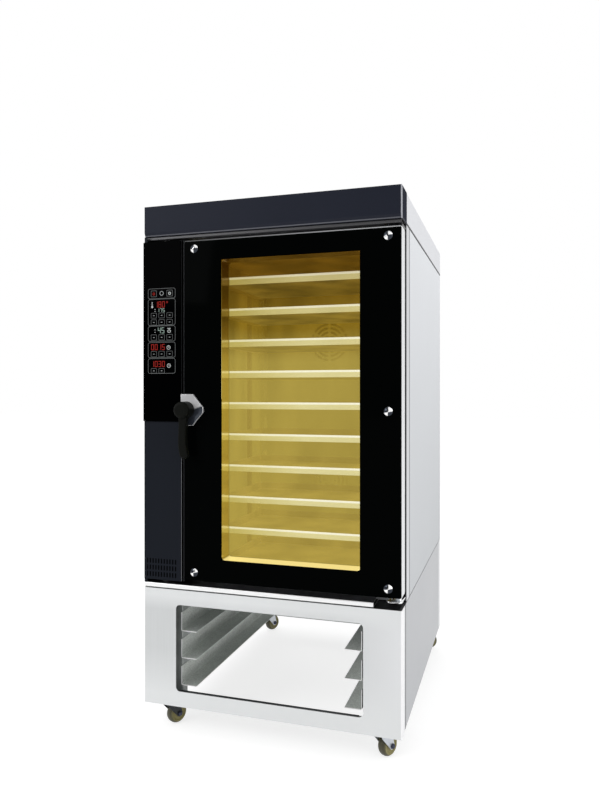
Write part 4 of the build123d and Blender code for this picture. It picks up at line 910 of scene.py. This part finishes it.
door_edge_steel = brushed(
    "door edge stainless", (0.84, 0.85, 0.86, 1.0), upright_grain,
    streaks=0.05, roughness=0.42, metallic=0.7,
)
dress(door_edge_steel, "door_frame")

cut_edge_reach = 0.0005
rim_reach = 0.02
inner_steel = brushed(
    "door inner stainless", (0.66, 0.67, 0.69, 1.0), upright_grain,
    streaks=0.08, roughness=0.36, metallic=0.75,
)
tree = inner_steel.node_tree
cut_edge, rim = [
    within(
        tree,
        {
            "X": (window_width[0] - reach, window_width[1] + reach),
            "Z": (window_height[0] - reach, window_height[1] + reach),
        },
    )
    for reach in (cut_edge_reach, rim_reach)
]
front_rim = calc(tree, "MULTIPLY", rim, calc(tree, "LESS_THAN", facing(tree, "Y"), -0.5))
lit_rim = calc(tree, "MAXIMUM", cut_edge, front_rim)
# Painted lamp light: the window's cut edge and the front rim round it are painted golden and glow.
overlay(inner_steel, lit_rim, (0.10, 0.075, 0.018, 1.0))
shader = tree.nodes["Principled BSDF"]
rim_glow = mixed(tree, lit_rim, black, painted_glow_colour(tree, lamp_gold))
feed(tree, shader.inputs["Emission Color"], rim_glow)
shader.inputs["Emission Strength"].default_value = 0.8
dress(inner_steel, "door_inner_panel")

pane_black = (0.0012, 0.0016, 0.0015, 1.0)
pane_cover = 0.05
pane_highlight_height = 0.0035
edge_dim_at, edge_bright_at = -0.30, 0.40


def clear_pane(name, tint, cover, specular):
    """Thin clear glass: cover is how much of what is behind it the pane's tint hides."""
    material, tree, shader = finish(
        name, Base_Color=tint, Specular_IOR_Level=specular, Roughness=0.04, Alpha=cover
    )
    wiped = noise(tree, 5.0, 4.0)
    tree.links.new(spread(tree, wiped, 0.0, 1.0, 0.03, 0.09), shader.inputs["Roughness"])
    return material


outer_pane = clear_pane("clear outer pane", pane_black, pane_cover, specular=0.004)
tree = outer_pane.node_tree
shader = tree.nodes["Principled BSDF"]
# Painted highlight: a grey line along the pane's top edge, brighter to the right.
top_edge_highlight = within(tree, {"Z": inward(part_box("door_outer_glass")[1].z, -pane_highlight_height)})
edge_light = ramp(tree, "X", edge_dim_at, edge_bright_at, 0.25, 1.0)
edge_share = calc(tree, "MULTIPLY", top_edge_highlight, edge_light)
edge_colour = mixed(tree, edge_share, pane_black, (0.50, 0.51, 0.52, 1.0))
feed(tree, shader.inputs["Base Color"], edge_colour)
in_window = within(tree, {"X": window_width, "Z": window_height})
feed(tree, shader.inputs["Alpha"], spread(tree, in_window, 0.0, 1.0, 1.0, pane_cover))
dress(outer_pane, "door_outer_glass")
inner_pane = clear_pane("warm inner pane", (0.30, 0.22, 0.03, 1.0), cover=0.06, specular=0.03)
dress(inner_pane, "door_inner_glass")
silicone, tree, shader = finish("black silicone", Specular_IOR_Level=0.3)
dust = noise(tree, 120.0, 4.0)
dusty = mixed(tree, dust, (0.02, 0.02, 0.02, 1.0), (0.05, 0.05, 0.048, 1.0))
tree.links.new(dusty, shader.inputs["Base Color"])
tree.links.new(spread(tree, dust, 0.0, 1.0, 0.5, 0.75), shader.inputs["Roughness"])
dress(silicone, "door_gasket")

# The dome nuts that clamp the outer pane, turned and chromed, with a painted reflection:
# two opposite light fans across each face, with dark fans between them.
cap_low, cap_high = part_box("glass_caps")
cap_radius = 0.015
fan_angle = 48.0
cap_middles = [
    Vector((x, 0.0, z))
    for x in (cap_low.x + cap_radius, cap_high.x - cap_radius)
    for z in (cap_low.z + cap_radius, cap_high.z - cap_radius)
]
cap_middles.append(Vector((cap_high.x - cap_radius, 0.0, (cap_low.z + cap_high.z) / 2)))


def from_cap(point, middle):
    """A point's place on its nut, in radii from the nut's axis."""
    spans = [Vector((middle.x - cap.x, 0.0, middle.z - cap.z)).length for cap in cap_middles]
    nearest = cap_middles[spans.index(min(spans))]
    return ((point.x - nearest.x) / cap_radius, (point.z - nearest.z) / cap_radius)


turned_chrome, tree, shader = finish("turned chrome", Metallic=0.9, Roughness=0.12)
on_cap = axes(tree, put(tree, "TexCoord").outputs["UV"])
turn = calc(tree, "ARCTAN2", on_cap["Y"], on_cap["X"])
fans = calc(tree, "COSINE", calc(tree, "MULTIPLY_ADD", turn, 2.0, -2.0 * math.radians(fan_angle)))
fan_reflection_share = spread(tree, fans, 0.05, 0.55)
painted_fan_reflection = mixed(tree, fan_reflection_share, (0.035, 0.04, 0.05, 1.0), (0.98, 0.98, 0.98, 1.0))
tree.links.new(painted_fan_reflection, shader.inputs["Base Color"])
refined("glass_caps", "door", turned_chrome, from_cap)

# The latch plate: a chromed casting with a painted reflection of a bright studio above a sharp
# horizon and a dark room below it, and a painted highlight on the chamfer round its face.
chrome_light = (0.95, 0.95, 0.96, 1.0)
horizon_fall = -0.27
horizon = (0.35, 0.40)
plate_low, plate_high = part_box("latch_plate")
latch_chrome, tree, shader = finish("polished latch chrome", Metallic=0.45)
rise = ramp(tree, "Z", plate_low.z, plate_high.z)
run = ramp(tree, "X", plate_low.x, plate_high.x)
falling = calc(tree, "MULTIPLY_ADD", run, horizon_fall, rise)
haze = noise(tree, 60.0, 3.0)
falling = calc(tree, "MULTIPLY_ADD", haze, 0.02, falling)
# Painted reflection: bright above a falling horizon line, dark below it.
latch_painted_reflection = mixed(tree, spread(tree, falling, *horizon), (0.06, 0.07, 0.09, 1.0), chrome_light)
tree.links.new(latch_painted_reflection, shader.inputs["Base Color"])
tree.links.new(spread(tree, haze, 0.0, 1.0, 0.1, 0.22), shader.inputs["Roughness"])
# Painted highlight on the chamfer round the face.
overlay(latch_chrome, spread(tree, facing(tree, "Y"), -0.92, -0.80), chrome_light)
refined("latch_plate", "door", latch_chrome)

# The hinge brackets: forged and chromed, each with the pin that the door's bush turns on,
# and bolted to the cabinet. The upper one lies in the gap under the hood, painted black as shade.
upper_bracket_over = 1.2
chrome, tree, shader = finish("polished chrome", Metallic=1.0)
haze = noise(tree, 60.0, 3.0)
hazy = mixed(tree, haze, (0.74, 0.75, 0.77, 1.0), (0.86, 0.87, 0.88, 1.0))
# Painted shade: the upper bracket is painted near black.
upper = calc(tree, "GREATER_THAN", axes(tree, object_place(tree))["Z"], upper_bracket_over)
bracket_colour = mixed(tree, upper, hazy, (0.012, 0.012, 0.014, 1.0))
tree.links.new(bracket_colour, shader.inputs["Base Color"])
tree.links.new(spread(tree, haze, 0.0, 1.0, 0.08, 0.18), shader.inputs["Roughness"])
refined("hinge_brackets", "cabinet", chrome)

# Small zinc-plated parts: the keeper pressed from plate, the handle's turned spindle, the
# drawn housings of the lamps, and the bushes that are pressed into the door's ends.
dress(bright_zinc, "latch_keeper", "handle_spindle", "lamp_housings", "hinge_bushes")

# The handle: a lever moulded in black nylon with a fine grain, on a round hub that sits on
# the spindle and turns with it.
black_nylon, tree, shader = finish("black moulded nylon", Specular_IOR_Level=0.07)
worn = noise(tree, 14.0, 4.0)
blacks = mixed(tree, worn, (0.0024, 0.0028, 0.0021, 1.0), (0.0045, 0.0052, 0.0038, 1.0))
tree.links.new(blacks, shader.inputs["Base Color"])
tree.links.new(spread(tree, worn, 0.0, 1.0, 0.45, 0.6), shader.inputs["Roughness"])
relief(tree, shader.inputs, noise(tree, 1400.0, 2.0), 0.12)
refined("handle_lever", "handle", black_nylon)

# The chamber: a stainless liner, back wall and air baffle, two welded fan wheels behind it
# with heat tint, and the rack's posts and runners, all golden with painted lamp light.
chamber_steel = brushed(
    "chamber stainless in painted lamp light", (0.10, 0.075, 0.018, 1.0), (4.0, 4.0, 220.0),
    streaks=0.10, roughness=0.42, metallic=0.2, Specular_IOR_Level=0.1,
)
give_painted_glow(chamber_steel, lamp_gold, blotches=0.34)
dress(chamber_steel, "chamber_liner", "chamber_back_wall", "air_baffle")
fan_steel = brushed(
    "heat-tinted fan steel", (0.09, 0.065, 0.016, 1.0), (90.0, 90.0, 90.0),
    streaks=0.2, roughness=0.45, metallic=0.3, Specular_IOR_Level=0.1,
)
give_painted_glow(fan_steel, (0.41, 0.315, 0.062, 1.0))
refined("fan_wheel_lower", "fan_lower", fan_steel)
refined("fan_wheel_upper", "fan_upper", fan_steel)
rack_steel = brushed(
    "rack stainless", (0.10, 0.08, 0.02, 1.0), (200.0, 4.0, 200.0),
    streaks=0.08, roughness=0.4, metallic=0.2, Specular_IOR_Level=0.1,
)
give_painted_glow(rack_steel, (0.38, 0.285, 0.058, 1.0))
dress(rack_steel, "rack_posts", "rack_runners")

# Ten baking trays of pressed aluminium with a raised rim, loose on the rack's runners. Their
# fronts get the most painted lamp light, paler at the rim and to the right, their undersides
# least.
first_tray = 0.588
tray_pitch = 0.1148
tray_rim = 0.0178
tray_slack = 0.004
tray_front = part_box("baking_trays")[0].y
front_depth = 0.016
pale_from, golden_from = 0.1, -0.17
tray_metal = brushed(
    "tray aluminium", (0.12, 0.10, 0.04, 1.0), (4.0, 160.0, 160.0),
    streaks=0.06, roughness=0.4, metallic=0.2, Specular_IOR_Level=0.1,
)
tree = tray_metal.node_tree
place = object_place(tree)
from_first = calc(tree, "SUBTRACT", axes(tree, place)["Z"], first_tray - tray_slack)
above_bottom = calc(tree, "MODULO", from_first, tray_pitch)
on_rim = calc(tree, "GREATER_THAN", above_bottom, tray_rim + tray_slack)
# Painted lamp light: paler to the right and at the rims, darker underneath.
to_left = calc(tree, "SUBTRACT", ramp(tree, "X", pale_from, golden_from), 0.25)
film = noise(tree, 1.0, 3.0, stretched(tree, place, (6.0, 6.0, 20.0)))
to_left = calc(tree, "MULTIPLY_ADD", film, 0.5, to_left)
wall_tone = mixed(tree, to_left, (0.80, 0.73, 0.36, 1.0), (0.62, 0.52, 0.15, 1.0))
rim_tone = mixed(tree, to_left, (1.08, 1.06, 0.84, 1.0), (0.95, 0.90, 0.55, 1.0))
front_tone = mixed(tree, on_rim, wall_tone, rim_tone)
at_front = calc(tree, "LESS_THAN", axes(tree, place)["Y"], tray_front + front_depth)
below = calc(tree, "LESS_THAN", facing(tree, "Z"), -0.5)
inner_tone = mixed(tree, below, (0.40, 0.30, 0.06, 1.0), (0.27, 0.20, 0.038, 1.0))
fading = spread(tree, at_front, 0.0, 1.0, 0.75, 0.30)
blotching = spread(tree, at_front, 0.0, 1.0, 0.45, 0.04)
give_painted_glow(tray_metal, mixed(tree, at_front, inner_tone, front_tone), fading, blotching)
dress(tray_metal, "baking_trays")

# The lamps' lenses: ribbed heat-proof glass, pale yellow with the lamp lit behind it, each
# set over its housing in the chamber.
lamp_glass, tree, shader = finish(
    "lit lamp glass", Base_Color=(1.0, 0.85, 0.5, 1.0), Emission_Color=(1.0, 0.80, 0.40, 1.0),
    Emission_Strength=2.0,
)
ribs = put(tree, "TexWave", Vector=object_place(tree), Scale=60.0, bands_direction="Z")
relief(tree, shader.inputs, ribs.outputs["Fac"], 0.4, 0.001)
dress(lamp_glass, "lamp_lenses")

# Behind the chamber: slabs of mineral wool, tubular ring heaters tinted by their own heat,
# and finned motors in grey enamel.
wool, tree, shader = finish("mineral wool", Roughness=0.95)
fibres = noise(tree, 180.0, 8.0, Distortion=1.2)
straw = mixed(tree, fibres, (0.30, 0.27, 0.16, 1.0), (0.62, 0.57, 0.38, 1.0))
tree.links.new(straw, shader.inputs["Base Color"])
relief(tree, shader.inputs, fibres, 0.6, 0.003)
dress(wool, "insulation")
heater_skin = galvanised(
    "heat-tinted heater tube", (0.20, 0.15, 0.06, 1.0), grains=60.0, contrast=0.2, metallic=0.5
)
# Painted lamp light: the heaters glow like the chamber's surfaces.
give_painted_glow(heater_skin, (0.38, 0.29, 0.056, 1.0))
refined("ring_heaters", "cabinet", heater_skin)
motor_enamel = powder_coated(
    "grey motor enamel", (0.14, 0.17, 0.20, 1.0), gloss=0.4, peel=0.1, specular=0.5
)
refined("fan_motors", "cabinet", motor_enamel)

# At the back: the flue stub of rolled stainless sheet, and the water valve with its spigot
# and line, all of turned brass.
turned_brass = brushed(
    "turned brass", (0.62, 0.40, 0.16, 1.0), (600.0, 20.0, 600.0),
    streaks=0.1, roughness=0.3, metallic=1.0,
)
refined("water_inlet", "cabinet", turned_brass)
dress(panel_steel, "flue_stub")
